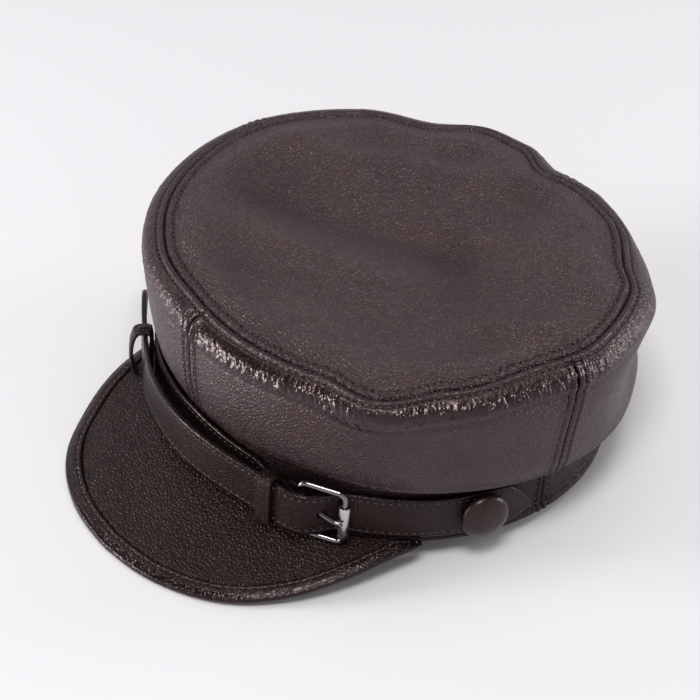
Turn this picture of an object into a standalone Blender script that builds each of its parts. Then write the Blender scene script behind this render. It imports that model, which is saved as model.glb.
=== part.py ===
"""Soft leather cap with a short visor and a buckled strap over the visor.

Metres, +Z up. The visor points to -Y and the wearer's left is +X. The cap
rests on the plane z = 0 on the back of its band and the front of its visor.
Lengths in the tables are millimetres, measured in the cap's own frame, whose
z runs up from the band's bottom edge; seat() then tips that frame back a few
degrees, as the visor lifts the front of the band off the table.
"""
import math

import bmesh
import bpy
import numpy as np

MM = 0.001

# ---------------------------------------------------------------- sizes (mm)
BAND_HALF_WIDTH = 96.4      # outside of the band, across the head
BAND_HALF_DEPTH = 94.6      # outside of the band, front to back
BAND_CENTRE_Y = -1.2
BAND_HEIGHT = 31.7
BAND_WALL = 2.4
HEM_BEAD = 1.2              # how far the rolled hem stands out
FRONT_DENT = 2.4            # the strap draws the band's front in by this
FRONT_DENT_ANGLE = 28.0
TILT_BACK = 4.04            # degrees that the whole cap tips back
TIP_LINE_Y = 94.6           # the line that it tips about, at the band's back
REAR_FLAT_ANGLE = 33.0      # half-angle of the hem that is flat on the table

LEATHER = 2.0               # crown wall
PANEL_COLUMNS = 15          # points across a side panel
SEAM_GAP = 0.30             # gap between sewn neighbours
TOP_GAP = 0.35
BAND_CLEAR = 0.40           # crown's folded edge above the band
FOLD_LIFT = 3.0             # how much higher the fold runs over the front

VISOR_WALL = 2.6
BINDING_WALL = 3.2
BINDING_WIDTH = 7.6

STRAP_WALL = 2.0
STRAP_HALF_WIDTH = 9.6
INNER_STRAP_WALL = 1.7
KEEPER_WALL = 1.5
KEEPER_LENGTH = 7.6
BUTTON_DIAMETER = 20.4
BUTTON_HEIGHT = 5.2

BUCKLE_ANGLE = 37.9         # where the frame's middle sits on the band
BUCKLE_STAND_OFF = 6.9      # frame's middle plane above the band
BUCKLE_MIDDLE_Z = 15.4
BUCKLE_LENGTH = 18.6        # centre line to centre line, along the strap
BUCKLE_HEIGHT = 23.4        # centre line to centre line, across the strap
BUCKLE_ROLL = -6.0          # degrees, its right end hangs lower
BUCKLE_WIRE = 1.3           # wire radius
ROLLER_RADIUS = 2.35
ROLLER_LENGTH = 15.0
PRONG_RADIUS = 1.05

BOX_SHIFT_X = 2.56          # moves the cap's box to the middle of the frame
BOX_SHIFT_Y = 19.76

# ------------------------------------------------- crown sections, bottom up
# Reach is the distance from the axis at the front, back, wearer's left (+X)
# and wearer's right (-X). "in" and "up" give the direction in which the wall
# has its thickness. "seam" says how much of the top seam's unevenness and
# slope the section follows.
CROWN_SECTIONS = (
    # name        z     front   back   left  right    in     up   seam
    ("fold",     29.6,  93.9, 102.3, 105.6, 100.0,  0.75, 0.85, 0.00),
    ("turn",     31.6,  95.6, 103.2, 107.2, 101.6,  0.95, 0.35, 0.00),
    ("low",      37.3,  97.7, 101.6, 108.4, 103.0,  1.00, 0.05, 0.00),
    ("mid",      47.7,  99.7, 101.4, 109.2, 105.2,  1.00, 0.00, 0.10),
    ("upper",    61.0, 100.5, 102.2, 109.7, 109.0,  1.00, -0.05, 0.30),
    ("shoulder", 70.2,  99.8, 102.2, 109.0, 112.0,  0.95, -0.30, 0.60),
    ("crest",    75.6,  97.1,  99.0, 105.2, 110.0,  0.75, -0.65, 0.85),
    ("seam",     78.3,  91.6,  92.6,  99.8, 102.4,  0.00, -1.00, 1.00),
)
SEAM_SLOPE_X = -0.0009      # slope of the top seam's plane on the table
SEAM_SLOPE_Y = -0.0371

# Where the top seam runs outside (+) or inside (-) its oval, and how far the
# crown's side follows it there. Angle 0 is the front, 90 the wearer's left.
SEAM_WANDER = (
    # angle  out
    (-155.0,  2.8),
    (-140.0, -5.6),   # dent in the rear edge
    (-122.0,  0.8),
    (-95.0,   3.2),
    (-60.0,   1.0),
    (-30.0,   0.0),
    (-8.0,   -2.8),   # front seam
    (15.0,   -1.6),
    (32.0,   -0.6),
    (46.0,    7.6),   # front left corner
    (62.0,    0.0),
    (84.0,   -4.4),
    (105.0,   0.2),
    (127.0,   0.8),   # corner at the rear left
    (138.0,  -2.8),
    (155.0,   1.2),
    (168.0,  -0.8),
    (-177.0, -6.6),   # dent in the back
    (-166.0,  0.8),
)

# Soft dents (-) and bulges (+) of the crown's side: middle, spread and depth.
SIDE_FOLDS = (
    # angle   z   spread_deg  spread_z  out
    (128.0, 45.0,   15.0,      15.0,   -4.4),   # crease behind the left side
    (134.0, 71.0,   13.0,       7.0,    3.8),   # its upper corner
    (154.0, 70.0,    9.0,       7.0,   -2.6),
    (-148.0, 66.0,  12.0,       9.0,   -2.0),
    (60.0,  52.0,   18.0,      10.0,   -1.2),
    (-70.0, 50.0,   20.0,      10.0,    1.2),
    (10.0,  52.0,   14.0,      10.0,    0.6),
)

# Ridges (+) and valleys (-) of the top panel: each runs from one point to
# another, x and y in the cap's frame.
TOP_FOLDS = (
    # from x, y     to x, y      spread  height
    (-80.0, 10.0,  -20.0, 60.0,   13.0,   2.6),
    (-62.0, -18.0,  10.0, 18.0,   12.0,  -2.8),
    (-52.0, -48.0,  20.0, -14.0,  14.0,   2.2),
    (30.0,   60.0,  70.0, 44.0,   14.0,   2.4),
    (20.0,   20.0,  70.0, -8.0,   16.0,  -2.4),
    (84.0,   14.0,  62.0, 2.0,     9.0,   2.2),
    (10.0,  -60.0,  60.0, -50.0,  11.0,   1.6),
)
TOP_PUFF = 2.6              # how far the panel swells just inside its seam
TOP_SAG = 3.0               # how far its middle hangs below the seam

# ----------------------------------------------------------------- the visor
VISOR_SECTIONS = (
    # angle  length  slope below the band's plane
    (0.0,    51.6,  19.7),
    (12.0,   50.0,  19.8),
    (24.0,   44.3,  19.9),
    (34.0,   33.9,  20.0),
    (44.0,   22.0,  15.0),
    (52.0,   13.0,  11.0),
    (58.0,    9.4,   8.0),
    (62.5,    1.0,   6.0),
)

# ---------------------------------------------------------------- the straps
# Stand-off is from the band's oval to the strap's outer face. "z" is the
# middle of its width, "half" half of its width.
OUTER_STRAP = (
    # angle  stand_off  z     half
    (-57.5,  16.6,  18.4,   1.2),
    (-54.5,  14.8,  18.4,   7.4),
    (-51.5,  13.1,  18.2,   9.6),
    (-46.0,  10.4,  17.6,   9.6),
    (-40.0,   8.2,  17.0,   9.6),
    (-35.0,   7.3,  17.0,   9.6),
    (-29.0,   7.1,  17.4,   9.6),
    (-22.0,   7.3,  18.2,   9.6),
    (-15.0,   7.5,  18.8,   9.6),
    (-8.0,    7.8,  18.9,   9.6),
    (0.0,     8.0,  18.7,   9.6),
    (7.0,     7.7,  18.2,   9.6),
    (14.0,    7.6,  17.7,   9.6),
    (20.0,    8.3,  17.2,   9.6),
    (25.0,    9.5,  16.8,   9.6),
    (29.0,   11.4,  16.6,   9.6),
    (31.5,   12.5,  16.4,   9.6),
    (33.5,   12.7,  16.2,   9.6),
    (35.5,   11.4,  15.9,   9.6),
    (37.5,    8.8,  15.6,   9.6),
    (39.5,    5.9,  15.2,   9.6),
    (41.5,    4.1,  14.8,   9.6),
    (43.5,    3.2,  14.4,   9.6),
    (46.5,    2.9,  14.1,   9.6),
    (50.0,    2.8,  13.8,   9.6),
    (57.0,    2.8,  13.5,   9.6),
    (66.0,    2.8,  13.4,   9.6),
    (75.0,    2.8,  13.4,   9.6),
    (82.5,    2.8,  13.2,   9.4),
    (86.5,    2.8,  11.4,   5.6),
    (89.3,    2.8,   9.6,   1.2),
)
PRONG_HOLE = (32.8, 38.2, 1.9)      # from angle, to angle, half width

# The inner strap is measured from the band's dented front.
INNER_STRAP = (
    (-88.5,   2.6,  12.6,   1.2),
    (-85.5,   2.6,  13.0,   6.4),
    (-82.0,   2.6,  13.6,   9.4),
    (-66.0,   2.6,  14.2,   9.6),
    (-50.0,   2.7,  16.0,   9.6),
    (-36.0,   2.8,  17.6,   9.6),
    (-24.0,   2.8,  18.9,   9.6),
    (-12.0,   2.8,  19.4,   9.6),
    (0.0,     2.8,  19.4,   9.6),
    (10.0,    2.8,  18.2,   9.6),
    (18.5,    3.0,  17.2,   9.6),
    (22.0,    3.2,  16.5,   7.8),
    (25.0,    3.9,  16.4,   7.8),
    (27.5,    5.2,  16.4,   7.8),
    (29.4,    7.4,  16.3,   7.8),
)
FOLD_RETURN = (                     # under the pivot bar, back to the left
    (31.0,    4.9,  16.3,   7.8),
    (29.2,    3.8,  16.4,   7.8),
)
FOLD_CLEAR = 0.35                   # between the fold and the pivot bar
FOLD_SLOT_HALF = 1.6                # slot in the fold for the prong

KEEPERS = (
    # name         angle  inner face  outer face   z    half height  yaw   roundness
    ("keeper_right", -37.0,  3.1,      13.4,      17.0,    12.0,    -6.0,   2.3),
    ("keeper_left",  25.4,   4.9,      12.6,      16.8,    12.1,    10.0,   5.0),
)

BUTTONS = (
    # name          angle   z    face of what it is pressed on
    ("button_right", -76.0, 14.2, 2.6),
    ("button_left",   75.4, 13.7, 2.8),
)
BUTTON_PROFILE = (                  # radius and height, in half diameters
    (0.40, 0.00), (0.40, 0.12), (0.93, 0.15), (1.00, 0.24), (0.985, 0.33), (0.90, 0.46),
    (0.74, 0.56), (0.50, 0.635), (0.25, 0.67), (0.0, 0.68),
)

LEATHER_BROWN = (0.038, 0.026, 0.024)
VISOR_BROWN = (0.030, 0.019, 0.017)
GUNMETAL = (0.30, 0.30, 0.31)


# -------------------------------------------------------------- small helpers
def seat(p):
    """Cap's own frame (mm) to the world (m), tipped back onto the table."""
    p = np.asarray(p, float)
    t = math.radians(TILT_BACK)
    y, z = p[..., 1] - TIP_LINE_Y, p[..., 2]
    return np.stack([
        p[..., 0] + BOX_SHIFT_X,
        y * math.cos(t) + z * math.sin(t) + TIP_LINE_Y + BOX_SHIFT_Y,
        -y * math.sin(t) + z * math.cos(t)], -1) * MM


def spline(table, x):
    """Smooth curve through the rows of a table, by its first column."""
    a = np.asarray(table, float)
    k, v = a[:, 0], a[:, 1:]
    slope = np.gradient(v, k, axis=0)
    x = np.clip(np.asarray(x, float), k[0], k[-1])
    i = np.clip(np.searchsorted(k, x, side="right") - 1, 0, len(k) - 2)
    h = (k[i + 1] - k[i])[..., None]
    t = (x - k[i])[..., None] / h
    return ((2 * t**3 - 3 * t**2 + 1) * v[i] + (t**3 - 2 * t**2 + t) * h * slope[i]
            + (3 * t**2 - 2 * t**3) * v[i + 1] + (t**3 - t**2) * h * slope[i + 1])


def around(table, degrees):
    """The same for a table that runs once round the cap, flat at its rows."""
    a = np.asarray(sorted(table), float)
    k = np.r_[a[-1, 0] - 360, a[:, 0], a[0, 0] + 360]
    v = np.r_[a[-1, 1], a[:, 1], a[0, 1]]
    d = (np.asarray(degrees, float) + 180) % 360 - 180
    i = np.clip(np.searchsorted(k, d, side="right") - 1, 0, len(k) - 2)
    t = (d - k[i]) / (k[i + 1] - k[i])
    t = t * t * (3 - 2 * t)
    return v[i] * (1 - t) + v[i + 1] * t


def oval(degrees, off, dented=False):
    """Point on the band's outside in plan, moved out by off."""
    a = np.radians(degrees)
    x, y = BAND_HALF_WIDTH * np.sin(a), BAND_CENTRE_Y - BAND_HALF_DEPTH * np.cos(a)
    n = np.stack([np.sin(a) / BAND_HALF_WIDTH, -np.cos(a) / BAND_HALF_DEPTH], -1)
    n /= np.linalg.norm(n, axis=-1, keepdims=True)
    d = (np.asarray(degrees, float) + 180) % 360 - 180
    off = off - (FRONT_DENT * np.exp(-(d / FRONT_DENT_ANGLE) ** 2) if dented else 0)
    return x + n[..., 0] * off, y + n[..., 1] * off


def on_band(degrees, off, z, dented=False):
    x, y = oval(degrees, off, dented)
    return np.stack(np.broadcast_arrays(x, y, z), -1).astype(float)


def plain_material(name, colour, roughness, metallic=0.0):
    m = bpy.data.materials.new(name)
    m.use_nodes = True
    b = m.node_tree.nodes["Principled BSDF"]
    b.inputs["Base Color"].default_value = (*colour, 1)
    b.inputs["Roughness"].default_value = roughness
    b.inputs["Metallic"].default_value = metallic
    return m


def add_object(name, bm, colour, roughness=0.55, metallic=0.0):
    bmesh.ops.recalc_face_normals(bm, faces=bm.faces)
    mesh = bpy.data.meshes.new(name)
    bm.to_mesh(mesh)
    bm.free()
    if mesh_volume(mesh) < 0:
        mesh.flip_normals()
    ob = bpy.data.objects.new(name, mesh)
    bpy.context.collection.objects.link(ob)
    mesh.materials.append(plain_material(name, colour, roughness, metallic))
    mesh.shade_smooth()
    mesh.set_sharp_from_angle(angle=math.radians(40))
    return ob


def mesh_volume(mesh):
    v = 0.0
    for poly in mesh.polygons:
        c = [mesh.vertices[i].co for i in poly.vertices]
        for k in range(1, len(c) - 1):
            v += c[0].dot(c[k].cross(c[k + 1])) / 6
    return v


def sheet_solid(outer, inner, wrap=False, keep=None):
    """Closed wall between two grids of points (rows along, columns across).

    keep is a grid of cells, False where the wall has a hole.
    """
    outer, inner = np.asarray(outer), np.asarray(inner)
    rows, cols = outer.shape[:2]
    cells = np.ones((rows - 1, cols if wrap else cols - 1), bool)
    if keep is not None:
        cells &= keep
    bm = bmesh.new()
    o = [[bm.verts.new(outer[i, j]) for j in range(cols)] for i in range(rows)]
    n = [[bm.verts.new(inner[i, j]) for j in range(cols)] for i in range(rows)]
    for i in range(cells.shape[0]):
        for j in range(cells.shape[1]):
            if not cells[i, j]:
                continue
            k = (j + 1) % cols
            bm.faces.new((o[i][j], o[i][k], o[i + 1][k], o[i + 1][j]))
            bm.faces.new((n[i + 1][j], n[i + 1][k], n[i][k], n[i][j]))
            up = i == 0 or not cells[i - 1, j]
            down = i == cells.shape[0] - 1 or not cells[i + 1, j]
            jl, jr = j - 1, j + 1
            if wrap:
                jl, jr = jl % cells.shape[1], jr % cells.shape[1]
            left = jl < 0 or not cells[i, jl]
            right = jr >= cells.shape[1] or not cells[i, jr]
            if up:
                bm.faces.new((o[i][k], o[i][j], n[i][j], n[i][k]))
            if down:
                bm.faces.new((o[i + 1][j], o[i + 1][k], n[i + 1][k], n[i + 1][j]))
            if left:
                bm.faces.new((o[i][j], o[i + 1][j], n[i + 1][j], n[i][j]))
            if right:
                bm.faces.new((o[i + 1][k], o[i][k], n[i][k], n[i + 1][k]))
    bmesh.ops.delete(bm, geom=[v for v in bm.verts if not v.link_faces], context="VERTS")
    return bm


# ------------------------------------------------------------------ the crown
def band_angle(x, y):
    """Angle on the band's oval that faces a point in plan."""
    return np.degrees(np.arctan2(x / BAND_HALF_WIDTH, -(y - BAND_CENTRE_Y) / BAND_HALF_DEPTH))


def fold_overhang(degrees):
    """How far the crown's fold stands out over the band's outside, and the
    angle on the band that it is over."""
    _, _, front, back, left, right = CROWN_SECTIONS[0][:6]
    a = np.radians(degrees)
    x = (left - right) / 2 + (left + right) / 2 * np.sin(a)
    y = (back - front) / 2 - (back + front) / 2 * np.cos(a)
    below = band_angle(x, y)
    bx, by = oval(below, 0.0, dented=True)
    return np.hypot(x, y - BAND_CENTRE_Y) - np.hypot(bx, by - BAND_CENTRE_Y), below


def crown_wall(v, degrees):
    """Outer and inner points of the crown's side at section v and angle."""
    table = [(k, *row[1:]) for k, row in enumerate(CROWN_SECTIONS)]
    z, front, back, left, right, inward, up, seam = np.moveaxis(spline(table, v), -1, 0)
    a = np.radians(degrees)
    s, c = np.sin(a), np.cos(a)
    x = (left - right) / 2 + (left + right) / 2 * s
    y = (back - front) / 2 - (back + front) / 2 * c
    out = around(SEAM_WANDER, degrees) * seam
    for angle, fz, da, dz, depth in SIDE_FOLDS:
        d = (degrees - angle + 180) % 360 - 180
        out = out + depth * np.exp(-(d / da) ** 2 - ((z - fz) / dz) ** 2)
    x, y = x + out * s, y - out * c
    slope_y = SEAM_SLOPE_Y + math.sin(math.radians(TILT_BACK))
    z = z + (SEAM_SLOPE_X * x + slope_y * y) * seam
    # over the front the fold doesn't overhang, so it sits on top of the band
    z = z + FOLD_LIFT * np.clip(1 - fold_overhang(degrees)[0] / 4.0, 0, 1) * np.clip(1 - v / 2, 0, 1)
    length = np.hypot(inward, up) / LEATHER
    inner = np.stack([x - s * inward / length, y + c * inward / length, z + up / length], -1)
    return np.stack([x, y, z], -1), inner


def panel_angles(start, end, v, count):
    """Angles across a side panel at section v, inside its two seams."""
    half_gap = math.degrees(SEAM_GAP / 2 / 100.0)
    share = v / (len(CROWN_SECTIONS) - 1)
    a = start[0] + (start[1] - start[0]) * share + half_gap
    b = end[0] + (end[1] - end[0]) * share - half_gap
    return a + (b - a) * np.arange(count) / (count - 1)


def crown_side_panel(name, start, end):
    """One side panel between two upright seams, given as their angles at the
    fold and at the top seam."""
    count = PANEL_COLUMNS
    outer, inner = [], []
    d = panel_angles(start, end, 0.0, count)
    # the folded bottom edge runs in over the top of the band
    overhang, below = fold_overhang(d)
    for off in (-2.0, np.minimum(0.6, overhang / 2 - 1.4)):
        under = on_band(below, off, BAND_HEIGHT + BAND_CLEAR, dented=True)
        outer.append(under)
        inner.append(under + [0, 0, LEATHER])
    for v in (0, 0.5, 1, 1.6, 2.3, 3, 4, 4.6, 5.2, 5.8, 6.4, 7):
        o, n = crown_wall(np.full(count, float(v)), panel_angles(start, end, v, count))
        outer.append(o)
        inner.append(n)
    bm = sheet_solid(seat(np.array(outer)), seat(np.array(inner)))
    return add_object(name, bm, LEATHER_BROWN)


# Upright seams: angle at the fold, angle at the top seam.
FRONT_SEAM = (-1.7, -2.7)
LEFT_SEAM = (87.6, 95.6)
BACK_SEAM = (180.0, 178.0)
RIGHT_SEAM = (-91.0, -94.0)
PANELS = {
    "crown_side_front_left": (FRONT_SEAM, LEFT_SEAM),
    "crown_side_back_left": (LEFT_SEAM, BACK_SEAM),
    "crown_side_back_right": (tuple(a - 360 for a in BACK_SEAM), RIGHT_SEAM),
    "crown_side_front_right": (RIGHT_SEAM, FRONT_SEAM),
}


def top_height(x, y):
    h = np.zeros_like(x)
    for x0, y0, x1, y1, spread, height in TOP_FOLDS:
        dx, dy = x1 - x0, y1 - y0
        t = np.clip(((x - x0) * dx + (y - y0) * dy) / (dx * dx + dy * dy), 0, 1)
        d2 = (x - x0 - t * dx) ** 2 + (y - y0 - t * dy) ** 2
        h = h + height * np.exp(-d2 / spread ** 2)
    return h


def crown_top():
    rings = (1.0, 0.96, 0.90, 0.82, 0.68, 0.50, 0.30, 0.12)
    last = len(CROWN_SECTIONS) - 1
    # the rim has its corners where the side panels have theirs
    d = np.concatenate([panel_angles(start, end, last, PANEL_COLUMNS)[:-1] for start, end in PANELS.values()])
    count = len(d)
    edge, _ = crown_wall(np.full(count, float(last)), d)
    centre = edge.mean(axis=0)
    r = np.hypot(edge[:, 0] - centre[0], edge[:, 1] - centre[1])
    shrink = (r - TOP_GAP) / r

    def point(u):
        p = centre + (edge - centre) * (shrink * u)[:, None]
        level = centre[2] + (edge[:, 2] - centre[2]) * u ** 1.5
        puff = TOP_PUFF * math.exp(-((u - 0.86) / 0.09) ** 2)
        sag = -TOP_SAG * (1 - u ** 2)
        free = min(1.0, (1 - u) / 0.16)
        p[:, 2] = level + puff + sag + top_height(p[:, 0], p[:, 1]) * free
        return p

    rows = [point(u) for u in rings]
    middle = point(0.0)[0]
    down = np.array([0, 0, LEATHER])
    bm = bmesh.new()
    top = [[bm.verts.new(q) for q in seat(row)] for row in rows]
    under = [[bm.verts.new(q) for q in seat(row - down)] for row in rows]
    top_middle = bm.verts.new(seat(middle))
    under_middle = bm.verts.new(seat(middle - down))
    for j in range(count):
        k = (j + 1) % count
        for i in range(len(rings) - 1):
            bm.faces.new((top[i][j], top[i][k], top[i + 1][k], top[i + 1][j]))
            bm.faces.new((under[i + 1][j], under[i + 1][k], under[i][k], under[i][j]))
        bm.faces.new((top[-1][j], top[-1][k], top_middle))
        bm.faces.new((under[-1][k], under[-1][j], under_middle))
        bm.faces.new((top[0][k], top[0][j], under[0][j], under[0][k]))
    return add_object("crown_top", bm, LEATHER_BROWN)


# ------------------------------------------------------------------- the band
def headband():
    count = 72
    d = np.arange(count) * 360.0 / count - 180.0
    levels = ((0.1, 0.0), (HEM_BEAD, 0.9), (HEM_BEAD, 2.4), (0.1, 3.5), (0.0, 16.0), (0.0, BAND_HEIGHT))
    outer = np.array([seat(on_band(d, off, z, dented=True)) for off, z in levels])
    inner = np.array([seat(on_band(d, -BAND_WALL, z, dented=True)) for off, z in levels])
    # at the back the soft hem is pressed flat on the table
    away = np.abs((d + 180) % 360 - 180)
    press = np.clip((away - (180 - REAR_FLAT_ANGLE - 27)) / 27.0, 0, 1)
    press = press * press * (3 - 2 * press)
    for grid in (outer, inner):
        drop = grid[0, :, 2] * press
        for k, (off, z) in enumerate(levels):
            grid[k, :, 2] -= drop * max(0.0, 1 - z / 16.0)
        grid[0, :, 2] = np.where(press > 0.999, 0.0, grid[0, :, 2])
    return add_object("headband", sheet_solid(outer, inner, wrap=True), LEATHER_BROWN)


# ------------------------------------------------------------------ the visor
VISOR_TURN = 1.3            # degrees, the visor sits a little towards the left
VISOR_LIFT = 1.65           # its middle surface above the band's bottom edge
VISOR_ROOT = HEM_BEAD + 0.85


def visor_root(d):
    return VISOR_ROOT - FRONT_DENT * np.exp(-(d / FRONT_DENT_ANGLE) ** 2)


def visor_length(d):
    return spline(VISOR_SECTIONS, np.abs(d - VISOR_TURN))[..., 0]


def visor_point(d, along, above):
    """Point of the visor at angle d, along its slope from the band's oval and
    above its middle surface."""
    slope = np.radians(spline(VISOR_SECTIONS, np.abs(d - VISOR_TURN))[..., 1])
    x, y = oval(d, along * np.cos(slope) + above * np.sin(slope))
    z = VISOR_LIFT - along * np.sin(slope) + above * np.cos(slope)
    p = seat(np.stack([x, y, z], -1))
    p[..., 2] = np.maximum(p[..., 2], 0.0)
    return p


def last_angle(width):
    """Largest angle at which the visor is still this wide."""
    d = np.arange(30.0, 62.0, 0.1)
    return float(d[visor_length(d) - visor_root(d) >= width][-1])


def visor_body():
    end = last_angle(BINDING_WIDTH + SEAM_GAP + 1.2) - VISOR_TURN
    d = VISOR_TURN + np.linspace(-end, end, 31)
    inner, edge = visor_root(d), visor_length(d) - BINDING_WIDTH - SEAM_GAP
    top, under = [], []
    for share in (0.0, 0.3, 0.65, 1.0):
        u = inner + (edge - inner) * share
        top.append(visor_point(d, u, VISOR_WALL / 2))
        under.append(visor_point(d, u, -VISOR_WALL / 2))
    return add_object("visor", sheet_solid(np.array(top), np.array(under)), VISOR_BROWN)


def visor_binding():
    end = last_angle(3.0) - VISOR_TURN
    d = VISOR_TURN + np.linspace(-end, end, 41)
    edge = visor_length(d)
    inner = np.maximum(edge - BINDING_WIDTH, visor_root(d))
    half = BINDING_WALL / 2
    top, under = [], []
    for share, back, height in ((0.0, 0.0, 0.86), (0.3, 0.0, 1.0), (1.0, 1.55, 0.97), (1.0, 0.75, 0.82), (1.0, 0.2, 0.48),
                                (1.0, 0.0, 0.15)):
        u = inner + (edge - inner) * share - back
        top.append(visor_point(d, u, half * height))
        low = visor_point(d, u, -half * height)
        under.append(low)
    top, under = np.array(top), np.array(under)
    # where the front edge is pressed flat, keep its wall
    top[..., 2] = np.maximum(top[..., 2], under[..., 2] + 0.0004)
    return add_object("visor_binding", sheet_solid(top, under), VISOR_BROWN)


# ----------------------------------------------------------------- the straps
def outer_strap():
    first, last, half_hole = PRONG_HOLE
    d = [-57.5, -56.0, -54.5, -53.0, -51.5]
    d += list(np.arange(-48.0, 24.0, 3.0)) + [26.0, 28.0, 29.5, 31.0]
    d += list(np.linspace(first, last, 7)) + [39.2, 40.5, 42.0, 43.5, 45.5, 48.0]
    d += list(np.arange(51.0, 81.0, 4.0)) + [82.5, 84.5, 86.5, 88.0, 89.3]
    d = np.array(d)
    off, z, half = np.moveaxis(spline(OUTER_STRAP, d), -1, 0)
    x, y = oval(d, off - STRAP_WALL / 2)
    rows = np.stack([x, y, z, np.clip(half, 0.9, STRAP_HALF_WIDTH)], -1)
    i0, i1 = int(np.argmin(np.abs(d - first))), int(np.argmin(np.abs(d - last)))
    bm = ribbon_with_mid(rows, STRAP_WALL, half_hole, (i0, i1))
    return add_object("strap_outer", bm, LEATHER_BROWN, 0.5)


def ribbon_with_mid(path, wall, slot_half, open_rows):
    """Ribbon whose middle column is open from one row to another."""
    path = np.asarray(path, float)
    s = np.r_[0, np.cumsum(np.linalg.norm(np.diff(path[:, :2], axis=0), axis=1))]
    tangent = np.stack([np.gradient(path[:, k], s) for k in (0, 1)], -1)
    tangent /= np.linalg.norm(tangent, axis=1)[:, None]
    normal = np.stack([tangent[:, 1], -tangent[:, 0]], -1)
    outer, inner = [], []
    for (x, y, z, half), n in zip(path, normal):
        mid = min(slot_half, half * 0.3)
        heights = np.array([-half, -(half + mid) / 2, -mid, mid, (half + mid) / 2, half])
        for grid, side in ((outer, 0.5), (inner, -0.5)):
            grid.append(np.stack(np.broadcast_arrays(
                x + n[0] * wall * side, y + n[1] * wall * side, z + heights), -1))
    keep = np.ones((len(path) - 1, 5), bool)
    keep[open_rows[0]:open_rows[1], 2] = False
    return sheet_solid(seat(np.array(outer)), seat(np.array(inner)), keep=keep)


def buckle_axes():
    a = math.radians(BUCKLE_ANGLE)
    n = np.array([math.sin(a) / BAND_HALF_WIDTH, -math.cos(a) / BAND_HALF_DEPTH])
    n /= np.linalg.norm(n)
    x, y = oval(np.array(BUCKLE_ANGLE), BUCKLE_STAND_OFF)
    return np.array([float(x), float(y)]), np.array([-n[1], n[0]]), n


def buckle_point(along, out, up):
    """Point of the buckle in the cap's frame: along the strap, away from the
    band, and up, all from the frame's middle."""
    middle, t, n = buckle_axes()
    along, out, up = np.broadcast_arrays(np.asarray(along, float), out, up)
    x = middle[0] + t[0] * along + n[0] * out
    y = middle[1] + t[1] * along + n[1] * out
    z = BUCKLE_MIDDLE_Z + up + along * math.tan(math.radians(BUCKLE_ROLL))
    return np.stack([x, y, z], -1)


def inner_strap():
    d = np.r_[-88.5, -87.0, -85.5, -83.7, -82.0, np.arange(-78.0, 18.0, 4.0), 18.5, 20.2, 22.0, 23.5, 25.0, 26.3, 27.5,
              28.5, 29.4]
    off, z, half = np.moveaxis(spline(INNER_STRAP, d), -1, 0)
    x, y = oval(d, off - INNER_STRAP_WALL / 2, dented=True)
    rows = [row for row in zip(x, y, z, half)]
    first_open = len(rows)
    bar = -BUCKLE_LENGTH / 2
    radius = BUCKLE_WIRE + FOLD_CLEAR + INNER_STRAP_WALL / 2
    half = INNER_STRAP[-1][3]
    mid_z = float(buckle_point(bar, 0, 0)[2])
    for a in (112, 90, 60, 30, 0, -30, -60, -90):
        p = buckle_point(bar + radius * math.cos(math.radians(a)), radius * math.sin(math.radians(a)), 0)
        rows.append((p[0], p[1], mid_z, half))
    for angle, off, zz, hw in FOLD_RETURN:
        x, y = oval(np.array(angle), off - INNER_STRAP_WALL / 2, dented=True)
        rows.append((float(x), float(y), zz, hw))
    rows = np.array(rows)
    rows[:, 3] = np.clip(rows[:, 3], 0.9, STRAP_HALF_WIDTH)
    bm = ribbon_with_mid(rows, INNER_STRAP_WALL, FOLD_SLOT_HALF, (first_open - 2, first_open + 5))
    return add_object("strap_inner", bm, LEATHER_BROWN, 0.5)


def keeper(name, angle, inner_face, outer_face, z, half_height, yaw, roundness):
    """Leather loop round the strap: a band of leather bent to a rounded
    oblong, flatter towards the cap."""
    a = math.radians(angle)
    n = np.array([math.sin(a) / BAND_HALF_WIDTH, -math.cos(a) / BAND_HALF_DEPTH])
    n /= np.linalg.norm(n)
    t = np.array([-n[1], n[0]])
    w = math.radians(yaw)
    n, t = n * math.cos(w) - t * math.sin(w), t * math.cos(w) + n * math.sin(w)
    x, y = oval(np.array(angle), (inner_face + outer_face) / 2)
    half_depth = (outer_face - inner_face) / 2
    count = 28
    outer, inner = [], []
    for share in (-0.5, -0.17, 0.17, 0.5):
        row_o, row_i = [], []
        for k in range(count):
            q = 2 * math.pi * k / count
            c, s = math.cos(q), math.sin(q)
            power = 2 / (roundness if c > 0 else 6.0)
            for row, cut in ((row_o, 0.0), (row_i, KEEPER_WALL)):
                out = (half_depth - cut) * math.copysign(abs(c) ** power, c)
                up = (half_height - cut) * math.copysign(abs(s) ** power, s)
                s_along = share * KEEPER_LENGTH
                row.append((float(x) + n[0] * out + t[0] * s_along, float(y) + n[1] * out + t[1] * s_along, z + up))
        outer.append(row_o)
        inner.append(row_i)
    return add_object(name, sheet_solid(seat(np.array(outer)), seat(np.array(inner)), wrap=True), LEATHER_BROWN, 0.5)


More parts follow.
